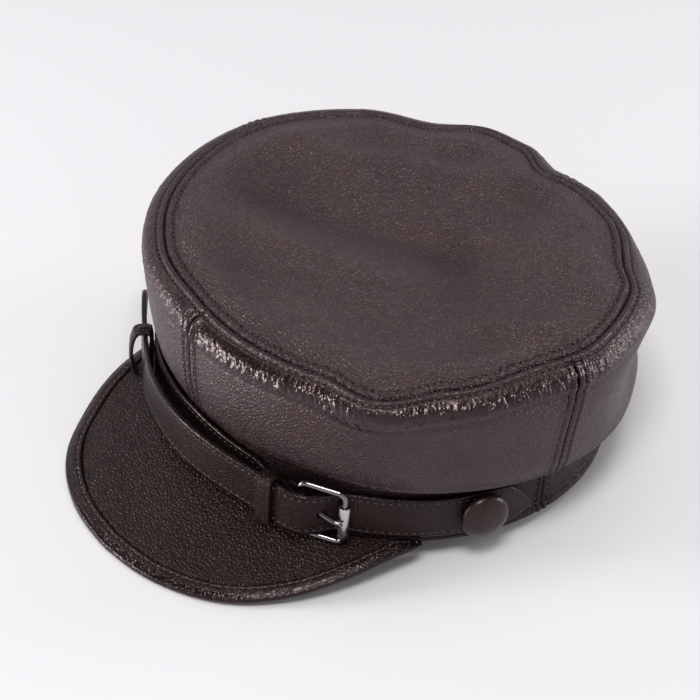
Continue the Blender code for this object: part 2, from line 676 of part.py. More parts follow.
# ----------------------------------------------------------------- the buckle
def tube(points, radii, closed, sides=10):
    """Round wire along points, capped at its ends unless it is closed."""
    p = np.asarray(points, float)
    n = len(p)
    if closed:
        tangent = np.roll(p, -1, axis=0) - np.roll(p, 1, axis=0)
    else:
        tangent = np.gradient(p, axis=0)
    tangent /= np.linalg.norm(tangent, axis=1)[:, None]
    middle, t, out = buckle_axes()
    ref = np.array([out[0], out[1], 0.0])
    bm = bmesh.new()
    rings = []
    for q, g, r in zip(p, tangent, np.broadcast_to(radii, n)):
        u = np.cross(g, np.array([0, 0, 1.0])) if abs(g @ ref) > 0.9 else np.cross(g, ref)
        u /= np.linalg.norm(u)
        v = np.cross(g, u)
        rings.append([bm.verts.new(seat(q + r * (math.cos(a) * u + math.sin(a) * v)))
                      for a in 2 * math.pi * np.arange(sides) / sides])
    for i in range(n if closed else n - 1):
        a, b = rings[i], rings[(i + 1) % n]
        for k in range(sides):
            m = (k + 1) % sides
            bm.faces.new((a[k], a[m], b[m], b[k]))
    if not closed:
        bm.faces.new(rings[0][::-1])
        bm.faces.new(rings[-1])
    return bm


def buckle_frame():
    half_l, half_h, corner = BUCKLE_LENGTH / 2, BUCKLE_HEIGHT / 2, 3.0
    pts = []
    for sx, sy, start in ((1, 1, 0), (-1, 1, 90), (-1, -1, 180), (1, -1, 270)):
        for a in (0, 22.5, 45, 67.5, 90):
            w = math.radians(start + a)
            pts.append(buckle_point(sx * (half_l - corner) + corner * math.cos(w), 0,
                                    sy * (half_h - corner) + corner * math.sin(w)))
    return add_object("buckle_frame", tube(pts, BUCKLE_WIRE, True, 12), GUNMETAL, 0.2, 1.0)


def buckle_roller():
    """Loose tube on the frame's right-hand bar, down against its corner."""
    sides, drop = 24, -1.0
    lo, hi = drop - ROLLER_LENGTH / 2, drop + ROLLER_LENGTH / 2
    bm = bmesh.new()
    rings = []
    hollow = BUCKLE_WIRE + 0.35
    for radius, up in ((hollow, lo), (ROLLER_RADIUS - 0.3, lo), (ROLLER_RADIUS, lo + 0.3),
                       (ROLLER_RADIUS, hi - 0.3), (ROLLER_RADIUS - 0.3, hi), (hollow, hi)):
        ring = []
        for k in range(sides):
            a = 2 * math.pi * k / sides
            p = buckle_point(BUCKLE_LENGTH / 2 + radius * math.cos(a), radius * math.sin(a), 0)
            p[2] = float(buckle_point(BUCKLE_LENGTH / 2, 0, 0)[2]) + up
            ring.append(bm.verts.new(seat(p)))
        rings.append(ring)
    for i in range(len(rings)):
        a, b = rings[i], rings[(i + 1) % len(rings)]
        for k in range(sides):
            m = (k + 1) % sides
            bm.faces.new((a[k], a[m], b[m], b[k]))
    return add_object("buckle_roller", bm, GUNMETAL, 0.3, 1.0)


def buckle_prong():
    """Hooked over the pivot bar, out through the strap's hole, its tip on the
    roller."""
    bar = -BUCKLE_LENGTH / 2
    reach = BUCKLE_WIRE + 0.35 + 0.85
    pts, radii = [], []
    for a in (185, 160, 135, 112, 90):
        pts.append(buckle_point(bar + reach * math.cos(math.radians(a)), reach * math.sin(math.radians(a)), 0))
        radii.append(0.85)
    tip_out = ROLLER_RADIUS + 0.3 + PRONG_RADIUS
    for share, r in ((0.12, 0.9), (0.35, PRONG_RADIUS), (0.6, PRONG_RADIUS), (0.85, PRONG_RADIUS), (0.97, 0.95), (1.03, 0.6)):
        pts.append(buckle_point(bar + share * BUCKLE_LENGTH, reach + (tip_out - reach) * share, 0))
        radii.append(r)
    return add_object("buckle_prong", tube(pts, radii, False, 10), GUNMETAL, 0.25, 1.0)


# ---------------------------------------------------------------- the buttons
def button(name, angle, z, face):
    a = math.radians(angle)
    n = np.array([math.sin(a) / BAND_HALF_WIDTH, -math.cos(a) / BAND_HALF_DEPTH, 0.0])
    n /= np.linalg.norm(n)
    t = np.array([-n[1], n[0], 0.0])
    base = on_band(np.array(float(angle)), face + 0.35, z)
    r = BUTTON_DIAMETER / 2
    sides = 24
    bm = bmesh.new()
    rings = []
    for radius, height in BUTTON_PROFILE[:-1]:
        rings.append([bm.verts.new(seat(base + n * height * r + radius * r * (math.cos(w) * t + math.sin(w) * np.array([0, 0, 1.0]))))
                      for w in 2 * math.pi * np.arange(sides) / sides])
    crown = bm.verts.new(seat(base + n * BUTTON_PROFILE[-1][1] * r))
    bm.faces.new(rings[0][::-1])
    for a_ring, b_ring in zip(rings, rings[1:]):
        for k in range(sides):
            m = (k + 1) % sides
            bm.faces.new((a_ring[k], a_ring[m], b_ring[m], b_ring[k]))
    for k in range(sides):
        bm.faces.new((rings[-1][k], rings[-1][(k + 1) % sides], crown))
    return add_object(name, bm, LEATHER_BROWN, 0.45)


def main():
    for ob in list(bpy.data.objects):
        bpy.data.objects.remove(ob, do_unlink=True)
    crown_top()
    for name, (start, end) in PANELS.items():
        crown_side_panel(name, start, end)
    headband()
    visor_body()
    visor_binding()
    outer_strap()
    inner_strap()
    for row in KEEPERS:
        keeper(*row)
    buckle_frame()
    buckle_roller()
    buckle_prong()
    for row in BUTTONS:
        button(*row)


main()
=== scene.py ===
"""Looks of the soft leather cap: fine leather walls, seams, stitches, buckle.

Every piece is built in the frame's own millimetres (the cap's own frame, tipped
back onto the table by seat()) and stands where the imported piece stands.
"""
import math

import bpy
import numpy as np
from mathutils import Matrix, Vector


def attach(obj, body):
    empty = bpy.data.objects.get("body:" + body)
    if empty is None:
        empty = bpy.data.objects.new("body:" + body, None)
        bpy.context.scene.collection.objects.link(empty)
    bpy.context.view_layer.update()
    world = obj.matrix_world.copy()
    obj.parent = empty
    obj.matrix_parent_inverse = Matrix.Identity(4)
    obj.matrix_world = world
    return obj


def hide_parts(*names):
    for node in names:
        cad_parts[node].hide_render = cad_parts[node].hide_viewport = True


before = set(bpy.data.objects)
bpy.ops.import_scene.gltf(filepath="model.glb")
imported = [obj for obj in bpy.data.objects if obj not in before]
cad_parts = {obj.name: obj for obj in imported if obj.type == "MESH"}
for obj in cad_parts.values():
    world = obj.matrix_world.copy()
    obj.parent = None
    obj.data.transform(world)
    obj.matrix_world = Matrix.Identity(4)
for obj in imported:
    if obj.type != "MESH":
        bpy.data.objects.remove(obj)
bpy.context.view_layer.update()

MM = 0.001

# ------------------------------------------------- sizes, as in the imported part
BAND_HALF_WIDTH = 96.4
BAND_HALF_DEPTH = 94.6
BAND_CENTRE_Y = -1.2
BAND_HEIGHT = 31.7
BAND_WALL = 2.4
HEM_BEAD = 1.2
FRONT_DENT = 2.4
FRONT_DENT_ANGLE = 28.0
TILT_BACK = 4.04
TIP_LINE_Y = 94.6
REAR_FLAT_ANGLE = 33.0

LEATHER = 2.0
SEAM_GAP = 0.30
TOP_GAP = 0.35
BAND_CLEAR = 0.40
FOLD_LIFT = 3.0

VISOR_WALL = 2.6
BINDING_WALL = 3.2
BINDING_WIDTH = 7.6
VISOR_TURN = 1.3
VISOR_LIFT = 1.65
VISOR_ROOT = HEM_BEAD + 0.85

STRAP_WALL = 2.0
STRAP_HALF_WIDTH = 9.6
INNER_STRAP_WALL = 1.7
KEEPER_WALL = 1.5
KEEPER_LENGTH = 7.6
BUTTON_DIAMETER = 20.4

BUCKLE_ANGLE = 37.9
BUCKLE_STAND_OFF = 6.9
BUCKLE_MIDDLE_Z = 15.9
BUCKLE_LENGTH = 18.6
BUCKLE_HEIGHT = 24.4
BUCKLE_ROLL = -6.0
BUCKLE_WIRE = 1.3
ROLLER_RADIUS = 2.35
ROLLER_LENGTH = 15.0
PRONG_RADIUS = 1.05

BOX_SHIFT_X = 2.56
BOX_SHIFT_Y = 19.76

CROWN_SECTIONS = (
    # name        z     front   back   left  right    in     up   seam
    ("fold",     29.6,  93.9, 102.3, 105.6, 100.0,  0.75, 0.85, 0.00),
    ("turn",     31.6,  95.6, 103.2, 107.2, 101.6,  0.95, 0.35, 0.00),
    ("low",      37.3,  97.7, 101.6, 108.4, 103.0,  1.00, 0.05, 0.00),
    ("mid",      47.7,  99.7, 101.4, 109.2, 105.2,  1.00, 0.00, 0.10),
    ("upper",    61.0, 100.5, 102.2, 109.7, 109.0,  1.00, -0.05, 0.30),
    ("shoulder", 70.2,  99.8, 102.2, 109.0, 112.0,  0.95, -0.30, 0.60),
    ("crest",    75.6,  97.1,  99.0, 105.2, 110.0,  0.75, -0.65, 0.85),
    ("seam",     78.3,  91.6,  92.6,  99.8, 102.4,  0.00, -1.00, 1.00),
)
SEAM_SLOPE_X = -0.0009
SEAM_SLOPE_Y = -0.0371
SEAM_WANDER = (
    # angle  out
    (-155.0,  2.8),
    (-140.0, -5.6),
    (-122.0,  0.8),
    (-95.0,   3.2),
    (-60.0,   1.0),
    (-30.0,   0.0),
    (-8.0,   -2.8),
    (15.0,   -1.6),
    (32.0,   -0.6),
    (46.0,    7.6),
    (62.0,    0.0),
    (84.0,   -4.4),
    (105.0,   0.2),
    (127.0,   0.8),
    (138.0,  -2.8),
    (155.0,   1.2),
    (168.0,  -0.8),
    (-177.0, -6.6),
    (-166.0,  0.8),
)
SIDE_FOLDS = (
    # angle   z   spread_deg  spread_z  out
    (128.0, 45.0,   15.0,      15.0,   -4.4),
    (134.0, 71.0,   13.0,       7.0,    3.8),
    (154.0, 70.0,    9.0,       7.0,   -2.6),
    (-148.0, 66.0,  12.0,       9.0,   -2.0),
    (60.0,  52.0,   18.0,      10.0,   -1.2),
    (-70.0, 50.0,   20.0,      10.0,    1.2),
    (10.0,  52.0,   14.0,      10.0,    0.6),
)
TOP_FOLDS = (
    # from x, y     to x, y      spread  height
    (-80.0, 10.0,  -20.0, 60.0,   13.0,   2.6),
    (-62.0, -18.0,  10.0, 18.0,   12.0,  -2.8),
    (-52.0, -48.0,  20.0, -14.0,  14.0,   2.2),
    (30.0,   60.0,  70.0, 44.0,   14.0,   2.4),
    (20.0,   20.0,  70.0, -8.0,   16.0,  -2.4),
    (84.0,   14.0,  62.0, 2.0,     9.0,   2.2),
    (10.0,  -60.0,  60.0, -50.0,  11.0,   1.6),
)
TOP_PUFF = 2.6
TOP_SAG = 3.0
VISOR_SECTIONS = (
    # angle  length  slope below the band's plane
    (0.0,    51.6,  19.7),
    (12.0,   50.0,  19.8),
    (24.0,   44.3,  19.9),
    (34.0,   33.9,  20.0),
    (44.0,   21.6,  15.0),
    (50.0,   14.0,  11.8),
    (54.0,    9.6,  10.0),
    (58.0,    6.0,   8.0),
    (62.5,    1.0,   6.0),
)
OUTER_STRAP = (
    # angle  stand_off  z     half
    (-57.5,  16.6,  18.4,   1.2),
    (-54.5,  14.8,  18.4,   7.4),
    (-51.5,  13.1,  18.2,   9.6),
    (-46.0,  10.4,  17.6,   9.6),
    (-40.0,   8.2,  17.0,   9.6),
    (-35.0,   7.3,  17.0,   9.6),
    (-29.0,   7.1,  17.4,   9.6),
    (-22.0,   7.3,  18.2,   9.6),
    (-15.0,   7.5,  18.8,   9.6),
    (-8.0,    7.8,  18.9,   9.6),
    (0.0,     8.0,  18.7,   9.6),
    (7.0,     7.7,  18.2,   9.6),
    (14.0,    7.6,  17.7,   9.6),
    (20.0,    8.3,  17.2,   9.6),
    (25.0,    9.5,  16.8,   9.6),
    (29.0,   11.4,  16.6,   9.6),
    (31.5,   12.5,  16.4,   9.6),
    (33.5,   12.7,  16.2,   9.6),
    (35.5,   11.4,  15.9,   9.6),
    (37.5,    8.8,  15.6,   9.6),
    (39.5,    5.9,  15.2,   9.6),
    (41.5,    4.1,  14.8,   9.6),
    (43.5,    3.2,  14.4,   9.6),
    (46.5,    2.9,  14.1,   9.6),
    (50.0,    2.8,  13.8,   9.6),
    (57.0,    2.8,  13.5,   9.6),
    (66.0,    2.8,  13.4,   9.6),
    (75.0,    2.8,  13.4,   9.6),
    (82.5,    2.8,  13.2,   9.4),
    (86.5,    2.8,  11.4,   5.6),
    (89.3,    2.8,   9.6,   1.2),
)
PRONG_HOLE = (36.9, 38.7, 1.3)
INNER_STRAP = (
    (-88.5,   2.6,  12.6,   1.2),
    (-85.5,   2.6,  13.0,   6.4),
    (-82.0,   2.6,  13.6,   9.4),
    (-66.0,   2.6,  14.2,   9.6),
    (-50.0,   2.7,  16.0,   9.6),
    (-36.0,   2.8,  17.6,   9.6),
    (-24.0,   2.8,  18.9,   9.6),
    (-12.0,   2.8,  19.4,   9.6),
    (0.0,     2.8,  19.4,   9.6),
    (10.0,    2.8,  18.2,   9.6),
    (18.5,    3.0,  17.2,   9.6),
    (22.0,    3.2,  16.5,   7.8),
    (25.0,    3.9,  16.4,   7.8),
    (27.5,    5.2,  16.4,   7.8),
    (29.4,    7.4,  16.3,   7.8),
)
FOLD_RETURN = (
    (31.0,    4.9,  16.3,   7.8),
    (29.2,    3.8,  16.4,   7.8),
)
FOLD_CLEAR = 0.35
FOLD_SLOT_HALF = 1.6
KEEPERS = (
    # name         angle  inner face  outer face   z    half height  yaw   roundness
    ("keeper_right", -37.0,  3.1,      13.4,      17.0,    12.0,    -6.0,   2.3),
    ("keeper_left",  25.4,   4.9,      12.6,      16.8,    12.1,    10.0,   5.0),
)
BUTTONS = (
    ("button_right", -76.0, 14.2, 2.6),
    ("button_left",   75.4, 13.7, 2.8),
)
FRONT_SEAM = (-1.7, -2.7)
LEFT_SEAM = (87.6, 95.6)
BACK_SEAM = (180.0, 178.0)
RIGHT_SEAM = (-91.0, -94.0)
PANELS = {
    "crown_side_front_left": (FRONT_SEAM, LEFT_SEAM),
    "crown_side_back_left": (LEFT_SEAM, BACK_SEAM),
    "crown_side_back_right": (tuple(a - 360 for a in BACK_SEAM), RIGHT_SEAM),
    "crown_side_front_right": (RIGHT_SEAM, FRONT_SEAM),
}
BAND_SEAMS = (94.5, -94.5)

# How strongly the leather puckers below the top seam, round the cap.
PUCKER_STRENGTH = (
    # angle  strength
    (-170.0, 0.30),
    (-120.0, 0.30),
    (-70.0,  0.35),
    (-20.0,  0.45),
    (0.0,    0.90),
    (30.0,   1.20),
    (60.0,   1.15),
    (88.0,   0.95),
    (108.0,  0.60),
    (130.0,  0.35),
    (150.0,  0.30),
)
PUCKER_DEPTH = 15.0         # how far below the top seam the puckers reach (mm)
STITCH = 3.1                # stitch pitch (mm)
SEAM_STITCH = 3.5           # stitch rows lie this far from a crown seam


# -------------------------------------------------------------- small helpers
def seat(p):
    p = np.asarray(p, float)
    t = math.radians(TILT_BACK)
    y, z = p[..., 1] - TIP_LINE_Y, p[..., 2]
    return np.stack([
        p[..., 0] + BOX_SHIFT_X,
        y * math.cos(t) + z * math.sin(t) + TIP_LINE_Y + BOX_SHIFT_Y,
        -y * math.sin(t) + z * math.cos(t)], -1) * MM


def spline(table, x):
    a = np.asarray(table, float)
    k, v = a[:, 0], a[:, 1:]
    slope = np.gradient(v, k, axis=0)
    x = np.clip(np.asarray(x, float), k[0], k[-1])
    i = np.clip(np.searchsorted(k, x, side="right") - 1, 0, len(k) - 2)
    h = (k[i + 1] - k[i])[..., None]
    t = (x - k[i])[..., None] / h
    return ((2 * t**3 - 3 * t**2 + 1) * v[i] + (t**3 - 2 * t**2 + t) * h * slope[i]
            + (3 * t**2 - 2 * t**3) * v[i + 1] + (t**3 - t**2) * h * slope[i + 1])


def around(table, degrees):
    a = np.asarray(sorted(table), float)
    k = np.r_[a[-1, 0] - 360, a[:, 0], a[0, 0] + 360]
    v = np.r_[a[-1, 1], a[:, 1], a[0, 1]]
    d = (np.asarray(degrees, float) + 180) % 360 - 180
    i = np.clip(np.searchsorted(k, d, side="right") - 1, 0, len(k) - 2)
    t = (d - k[i]) / (k[i + 1] - k[i])
    t = t * t * (3 - 2 * t)
    return v[i] * (1 - t) + v[i + 1] * t


def oval(degrees, off, dented=False):
    a = np.radians(degrees)
    x, y = BAND_HALF_WIDTH * np.sin(a), BAND_CENTRE_Y - BAND_HALF_DEPTH * np.cos(a)
    n = np.stack([np.sin(a) / BAND_HALF_WIDTH, -np.cos(a) / BAND_HALF_DEPTH], -1)
    n /= np.linalg.norm(n, axis=-1, keepdims=True)
    d = (np.asarray(degrees, float) + 180) % 360 - 180
    off = off - (FRONT_DENT * np.exp(-(d / FRONT_DENT_ANGLE) ** 2) if dented else 0)
    return x + n[..., 0] * off, y + n[..., 1] * off


def on_band(degrees, off, z, dented=False):
    x, y = oval(degrees, off, dented)
    return np.stack(np.broadcast_arrays(x, y, z), -1).astype(float)


def smooth(a, b, x):
    t = np.clip((np.asarray(x, float) - a) / (b - a), 0, 1)
    return t * t * (3 - 2 * t)


def bump(x, middle, width):
    return np.exp(-((np.asarray(x, float) - middle) / width) ** 2)


def hashed(ix, iy, seed):
    h = (ix * 374761393 + iy * 668265263 + seed * 974634777) & 0xFFFFFFFF
    h = ((h ^ (h >> 13)) * 1274126177) & 0xFFFFFFFF
    return ((h ^ (h >> 16)) & 0xFFFF) / 65535.0


def noise(x, y, seed, period=None):
    """Smooth noise from -1 to 1 with cells one unit wide. With a period, x
    comes round after that many cells."""
    x, y = np.broadcast_arrays(np.asarray(x, float), np.asarray(y, float))
    ix, iy = np.floor(x).astype(np.int64), np.floor(y).astype(np.int64)
    fx, fy = x - ix, y - iy
    fx, fy = fx * fx * (3 - 2 * fx), fy * fy * (3 - 2 * fy)
    jx = ix + 1
    if period:
        ix, jx = ix % period, jx % period
    a = hashed(ix, iy, seed) * (1 - fx) + hashed(jx, iy, seed) * fx
    b = hashed(ix, iy + 1, seed) * (1 - fx) + hashed(jx, iy + 1, seed) * fx
    return 2 * (a * (1 - fy) + b * fy) - 1


def ring_noise(degrees, cells, y, seed):
    return noise(np.asarray(degrees, float) / 360.0 * cells, y, seed, period=cells)


def unit(v):
    return v / np.maximum(np.linalg.norm(v, axis=-1, keepdims=True), 1e-12)


def grid_normals(p, outward):
    """Normals of a grid of points; outward is a vector field they agree with."""
    n = unit(np.cross(np.gradient(p, axis=0), np.gradient(p, axis=1)))
    sign = np.sign(np.sum(n * outward, axis=-1, keepdims=True))
    return n * np.where(sign == 0, 1, sign)


# ---------------------------------------------------------------- mesh making
def mesh_object(name, verts, faces, material, attributes=None, sharp=50.0):
    """attributes: name -> one value per vertex."""
    verts = np.asarray(verts, float)
    me = bpy.data.meshes.new(name)
    me.from_pydata(verts.tolist(), [], faces)
    me.validate()
    tri = 0.0
    me.calc_loop_triangles()
    idx = np.empty(len(me.loop_triangles) * 3, np.int32)
    me.loop_triangles.foreach_get("vertices", idx)
    t = verts[idx.reshape(-1, 3)]
    tri = np.einsum("ij,ij->i", t[:, 0], np.cross(t[:, 1], t[:, 2])).sum() / 6
    if tri < 0:
        me.flip_normals()
    for key, values in (attributes or {}).items():
        at = me.attributes.new(key, "FLOAT", "POINT")
        at.data.foreach_set("value", np.asarray(values, np.float32))
    me.shade_smooth()
    if sharp:
        me.set_sharp_from_angle(angle=math.radians(sharp))
    me.materials.append(material)
    ob = bpy.data.objects.new(name, me)
    bpy.context.collection.objects.link(ob)
    return ob


def shell(outer, inner, k, wrap=False, keep=None, middle=None):
    """Closed wall between a fine grid and one k times coarser.

    keep (only with k = 1) is False for cells left open. middle gives the two
    points that close a disc past the last row.
    """
    R, C = outer.shape[:2]
    r, c = inner.shape[:2]
    assert r == (R - 1) // k + 1 and (c == C // k if wrap else c == (C - 1) // k + 1), (R, C, r, c, k)
    base = R * C
    o = lambda i, j: i * C + j % C if wrap else i * C + j
    n = lambda i, j: base + (i * c + j % c if wrap else i * c + j)
    faces = []
    cells = keep if keep is not None else np.ones((R - 1, C if wrap else C - 1), bool)
    ii, jj = np.nonzero(cells)
    j2 = (jj + 1) % C if wrap else jj + 1
    faces += np.stack([ii * C + jj, ii * C + j2, (ii + 1) * C + j2, (ii + 1) * C + jj], 1).tolist()
    if keep is None:
        ci, cj = [a.ravel() for a in np.meshgrid(np.arange(r - 1), np.arange(c if wrap else c - 1), indexing="ij")]
    else:
        ci, cj = ii, jj
    ck = (cj + 1) % c if wrap else cj + 1
    faces += (base + np.stack([(ci + 1) * c + cj, (ci + 1) * c + ck, ci * c + ck, ci * c + cj], 1)).tolist()
    if keep is None:
        for j in range(c if wrap else c - 1):
            faces.append([o(0, k * (j + 1) - s) for s in range(k + 1)] + [n(0, j), n(0, j + 1)])
            if middle is None:
                faces.append([o(R - 1, k * j + s) for s in range(k + 1)] + [n(r - 1, j + 1), n(r - 1, j)])
        if not wrap:
            for i in range(r - 1):
                faces.append([o(k * i + s, 0) for s in range(k + 1)] + [n(i + 1, 0), n(i, 0)])
                faces.append([o(k * (i + 1) - s, C - 1) for s in range(k + 1)] + [n(i, c - 1), n(i + 1, c - 1)])
    else:
        full = np.zeros((R + 1, C + 1 if not wrap else C + 2), bool)
        full[1:R, 1:cells.shape[1] + 1] = cells
        for i, j in zip(*np.nonzero(cells)):
            if not full[i, j + 1]:
                faces.append([o(i, j + 1), o(i, j), n(i, j), n(i, j + 1)])
            if not full[i + 2, j + 1]:
                faces.append([o(i + 1, j), o(i + 1, j + 1), n(i + 1, j + 1), n(i + 1, j)])
            if not full[i + 1, j]:
                faces.append([o(i, j), o(i + 1, j), n(i + 1, j), n(i, j)])
            if not full[i + 1, j + 2]:
                faces.append([o(i + 1, j + 1), o(i, j + 1), n(i, j + 1), n(i + 1, j + 1)])
    verts = np.concatenate([outer.reshape(-1, 3), inner.reshape(-1, 3)])
    if middle is not None:
        a, b = len(verts), len(verts) + 1
        verts = np.concatenate([verts, np.asarray(middle).reshape(2, 3)])
        for j in range(C):
            faces.append([o(R - 1, j), o(R - 1, j + 1), a])
        for j in range(c):
            faces.append([n(r - 1, j + 1), n(r - 1, j), b])
    if keep is not None:
        used = np.zeros(len(verts), bool)
        used[np.concatenate([np.asarray(f) for f in faces])] = True
        index = np.cumsum(used) - 1
        faces = [[int(index[q]) for q in f] for f in faces]
        return verts[used], faces, used
    return verts, faces, None


def sheet_object(name, outer, inner, k, material, wrap=False, keep=None, middle=None, marks=None, seated=True):
    """marks: name -> grid of values on the fine side."""
    if seated:
        outer, inner = seat(outer), seat(inner)
        middle = None if middle is None else seat(np.asarray(middle))
    verts, faces, used = shell(outer, inner, k, wrap, keep, middle)
    attributes = {}
    for key, grid in (marks or {}).items():
        full = np.zeros(len(outer.reshape(-1, 3)) + len(inner.reshape(-1, 3)) + (2 if middle is not None else 0))
        full[:grid.size] = grid.ravel()
        attributes[key] = full if used is None else full[used]
    return mesh_object(name, verts, faces, material, attributes)


def tube_faces(rows, cols, caps=True, loop=False):
    faces = []
    for i in range(rows if loop else rows - 1):
        a, b = i * cols, ((i + 1) % rows) * cols
        for j in range(cols):
            k = (j + 1) % cols
            faces.append([a + j, a + k, b + k, b + j])
    if caps and not loop:
        faces.append(list(range(cols))[::-1])
        faces.append([(rows - 1) * cols + j for j in range(cols)])
    return faces


# ------------------------------------------------------------------ materials
def node(tree, kind, **values):
    n = tree.nodes.new(kind)
    for key, value in values.items():
        if key in n.inputs:
            n.inputs[key].default_value = value
        else:
            setattr(n, key, value)
    return n


def ramp(tree, source, stops):
    n = tree.nodes.new("ShaderNodeValToRGB")
    n.color_ramp.elements[0].position, n.color_ramp.elements[0].color = stops[0][0], (*stops[0][1], 1)
    n.color_ramp.elements[1].position, n.color_ramp.elements[1].color = stops[-1][0], (*stops[-1][1], 1)
    for place, colour in stops[1:-1]:
        n.color_ramp.elements.new(place).color = (*colour, 1)
    tree.links.new(source, n.inputs["Fac"])
    return n.outputs["Color"]


def leather(name, colour, roughness=0.46, grain=1.25, depth=0.10, pores=0.3, gloss=0.5, sheen=0.0):
    """Pebbled leather: cells of about `grain` mm with creases between them,
    painted darker partly as the grain's own tone and partly as shade, broken up by
    fine pores, with a soft mottling of colour and gloss. One mesh value makes places
    glossier and paints them darker as shade; another paints shade into seams,
    grooves and stitch lines."""
    m = bpy.data.materials.new(name)
    m.use_nodes = True
    t = m.node_tree
    t.nodes.clear()
    out = t.nodes.new("ShaderNodeOutputMaterial")
    b = t.nodes.new("ShaderNodeBsdfPrincipled")
    t.links.new(b.outputs[0], out.inputs[0])
    b.inputs["Specular IOR Level"].default_value = gloss
    b.inputs["Specular Tint"].default_value = (1.0, 0.80, 0.82, 1)
    if sheen:
        b.inputs["Sheen Weight"].default_value = sheen
        b.inputs["Sheen Roughness"].default_value = 0.4
        b.inputs["Sheen Tint"].default_value = (0.9, 0.85, 0.9, 1)
    co = t.nodes.new("ShaderNodeTexCoord")
    P = co.outputs["Object"]
    # bend the cells so that they aren't round
    warp = node(t, "ShaderNodeTexNoise", Scale=420.0, Detail=2.0)
    t.links.new(P, warp.inputs["Vector"])
    shift = node(t, "ShaderNodeVectorMath", operation="SUBTRACT")
    t.links.new(warp.outputs["Color"], shift.inputs[0])
    shift.inputs[1].default_value = (0.5, 0.5, 0.5)
    scaled = node(t, "ShaderNodeVectorMath", operation="SCALE")
    t.links.new(shift.outputs[0], scaled.inputs[0])
    scaled.inputs["Scale"].default_value = 0.0011
    moved = node(t, "ShaderNodeVectorMath", operation="ADD")
    t.links.new(P, moved.inputs[0])
    t.links.new(scaled.outputs[0], moved.inputs[1])
    cells = node(t, "ShaderNodeTexVoronoi", feature="DISTANCE_TO_EDGE", Scale=1000.0 / grain)
    t.links.new(moved.outputs[0], cells.inputs["Vector"])
    edge = node(t, "ShaderNodeMapRange", **{"From Min": 0.0, "From Max": 0.40, "To Min": 0.0, "To Max": 1.0})
    edge.interpolation_type = "SMOOTHSTEP"
    t.links.new(cells.outputs["Distance"], edge.inputs["Value"])
    big = node(t, "ShaderNodeTexNoise", Scale=260.0, Detail=3.0)
    t.links.new(P, big.inputs["Vector"])
    fine = node(t, "ShaderNodeTexNoise", Scale=2600.0, Detail=2.0)
    t.links.new(P, fine.inputs["Vector"])
    h1 = node(t, "ShaderNodeMath", operation="MULTIPLY_ADD")
    t.links.new(big.outputs["Fac"], h1.inputs[0])
    h1.inputs[1].default_value = 0.9
    t.links.new(edge.outputs[0], h1.inputs[2])
    h2 = node(t, "ShaderNodeMath", operation="MULTIPLY_ADD")
    t.links.new(fine.outputs["Fac"], h2.inputs[0])
    h2.inputs[1].default_value = pores
    t.links.new(h1.outputs[0], h2.inputs[2])
    # where the leather is glossy or pulled tight its grain is flatter
    gloss_and_shade = t.nodes.new("ShaderNodeAttribute")
    gloss_and_shade.attribute_name = "gloss_and_shade"
    flat = node(t, "ShaderNodeMath", operation="MULTIPLY_ADD")
    t.links.new(gloss_and_shade.outputs["Fac"], flat.inputs[0])
    flat.inputs[1].default_value = -0.75
    flat.inputs[2].default_value = 1.0
    h3 = node(t, "ShaderNodeMath", operation="MULTIPLY")
    t.links.new(h2.outputs[0], h3.inputs[0])
    t.links.new(flat.outputs[0], h3.inputs[1])
    bumps = node(t, "ShaderNodeBump", Strength=1.0, Distance=depth * MM)
    t.links.new(h3.outputs[0], bumps.inputs["Height"])
    t.links.new(bumps.outputs[0], b.inputs["Normal"])
    # colour: broad mottling; grain creases darker, partly painted shade; painted shade in seams and grooves; glossy
    # places painted darker as shade
    broad = node(t, "ShaderNodeTexNoise", Scale=38.0, Detail=4.0)
    t.links.new(P, broad.inputs["Vector"])
    dark = tuple(0.72 * c for c in colour)
    light = tuple(min(1, 1.22 * c) for c in colour)
    tone = ramp(t, broad.outputs["Fac"], ((0.3, dark), (0.5, colour), (0.72, light)))
    mix = node(t, "ShaderNodeMix", data_type="RGBA", blend_type="MULTIPLY")
    mix.inputs["Factor"].default_value = 1.0
    t.links.new(tone, mix.inputs["A"])
    # grain creases darker: partly the leather's own tone, partly painted shade in the creases
    grain_crease_shade = ramp(t, edge.outputs[0], ((0.0, (0.30, 0.30, 0.30)), (0.5, (0.92, 0.92, 0.92)), (1.0, (1.06, 1.06, 1.06))))
    t.links.new(grain_crease_shade, mix.inputs["B"])
    # painted shade: a mesh value darkens seam grooves, stitch lines and the crease under the puckered strip
    seam = t.nodes.new("ShaderNodeAttribute")
    seam.attribute_name = "crease_shade"
    deep = node(t, "ShaderNodeMix", data_type="RGBA", blend_type="MULTIPLY")
    t.links.new(seam.outputs["Fac"], deep.inputs["Factor"])
    t.links.new(mix.outputs["Result"], deep.inputs["A"])
    deep.inputs["B"].default_value = (0.22, 0.18, 0.18, 1)
    # painted shade: glossy places are painted darker so their highlights stand out
    gloss_shade_mix = node(t, "ShaderNodeMix", data_type="RGBA", blend_type="MULTIPLY")
    t.links.new(gloss_and_shade.outputs["Fac"], gloss_shade_mix.inputs["Factor"])
    t.links.new(deep.outputs["Result"], gloss_shade_mix.inputs["A"])
    gloss_shade_mix.inputs["B"].default_value = (0.42, 0.34, 0.32, 1)
    t.links.new(gloss_shade_mix.outputs["Result"], b.inputs["Base Color"])
    # gloss: broad patches vary, and the glossy places from the mesh value shine
    r1 = node(t, "ShaderNodeMapRange", **{"From Min": 0.3, "From Max": 0.75, "To Min": roughness + 0.06,
                                          "To Max": roughness - 0.05})
    t.links.new(big.outputs["Fac"], r1.inputs["Value"])
    r2 = node(t, "ShaderNodeMath", operation="MULTIPLY_ADD")
    t.links.new(gloss_and_shade.outputs["Fac"], r2.inputs[0])
    r2.inputs[1].default_value = -0.20
    t.links.new(r1.outputs[0], r2.inputs[2])
    t.links.new(r2.outputs[0], b.inputs["Roughness"])
    return m


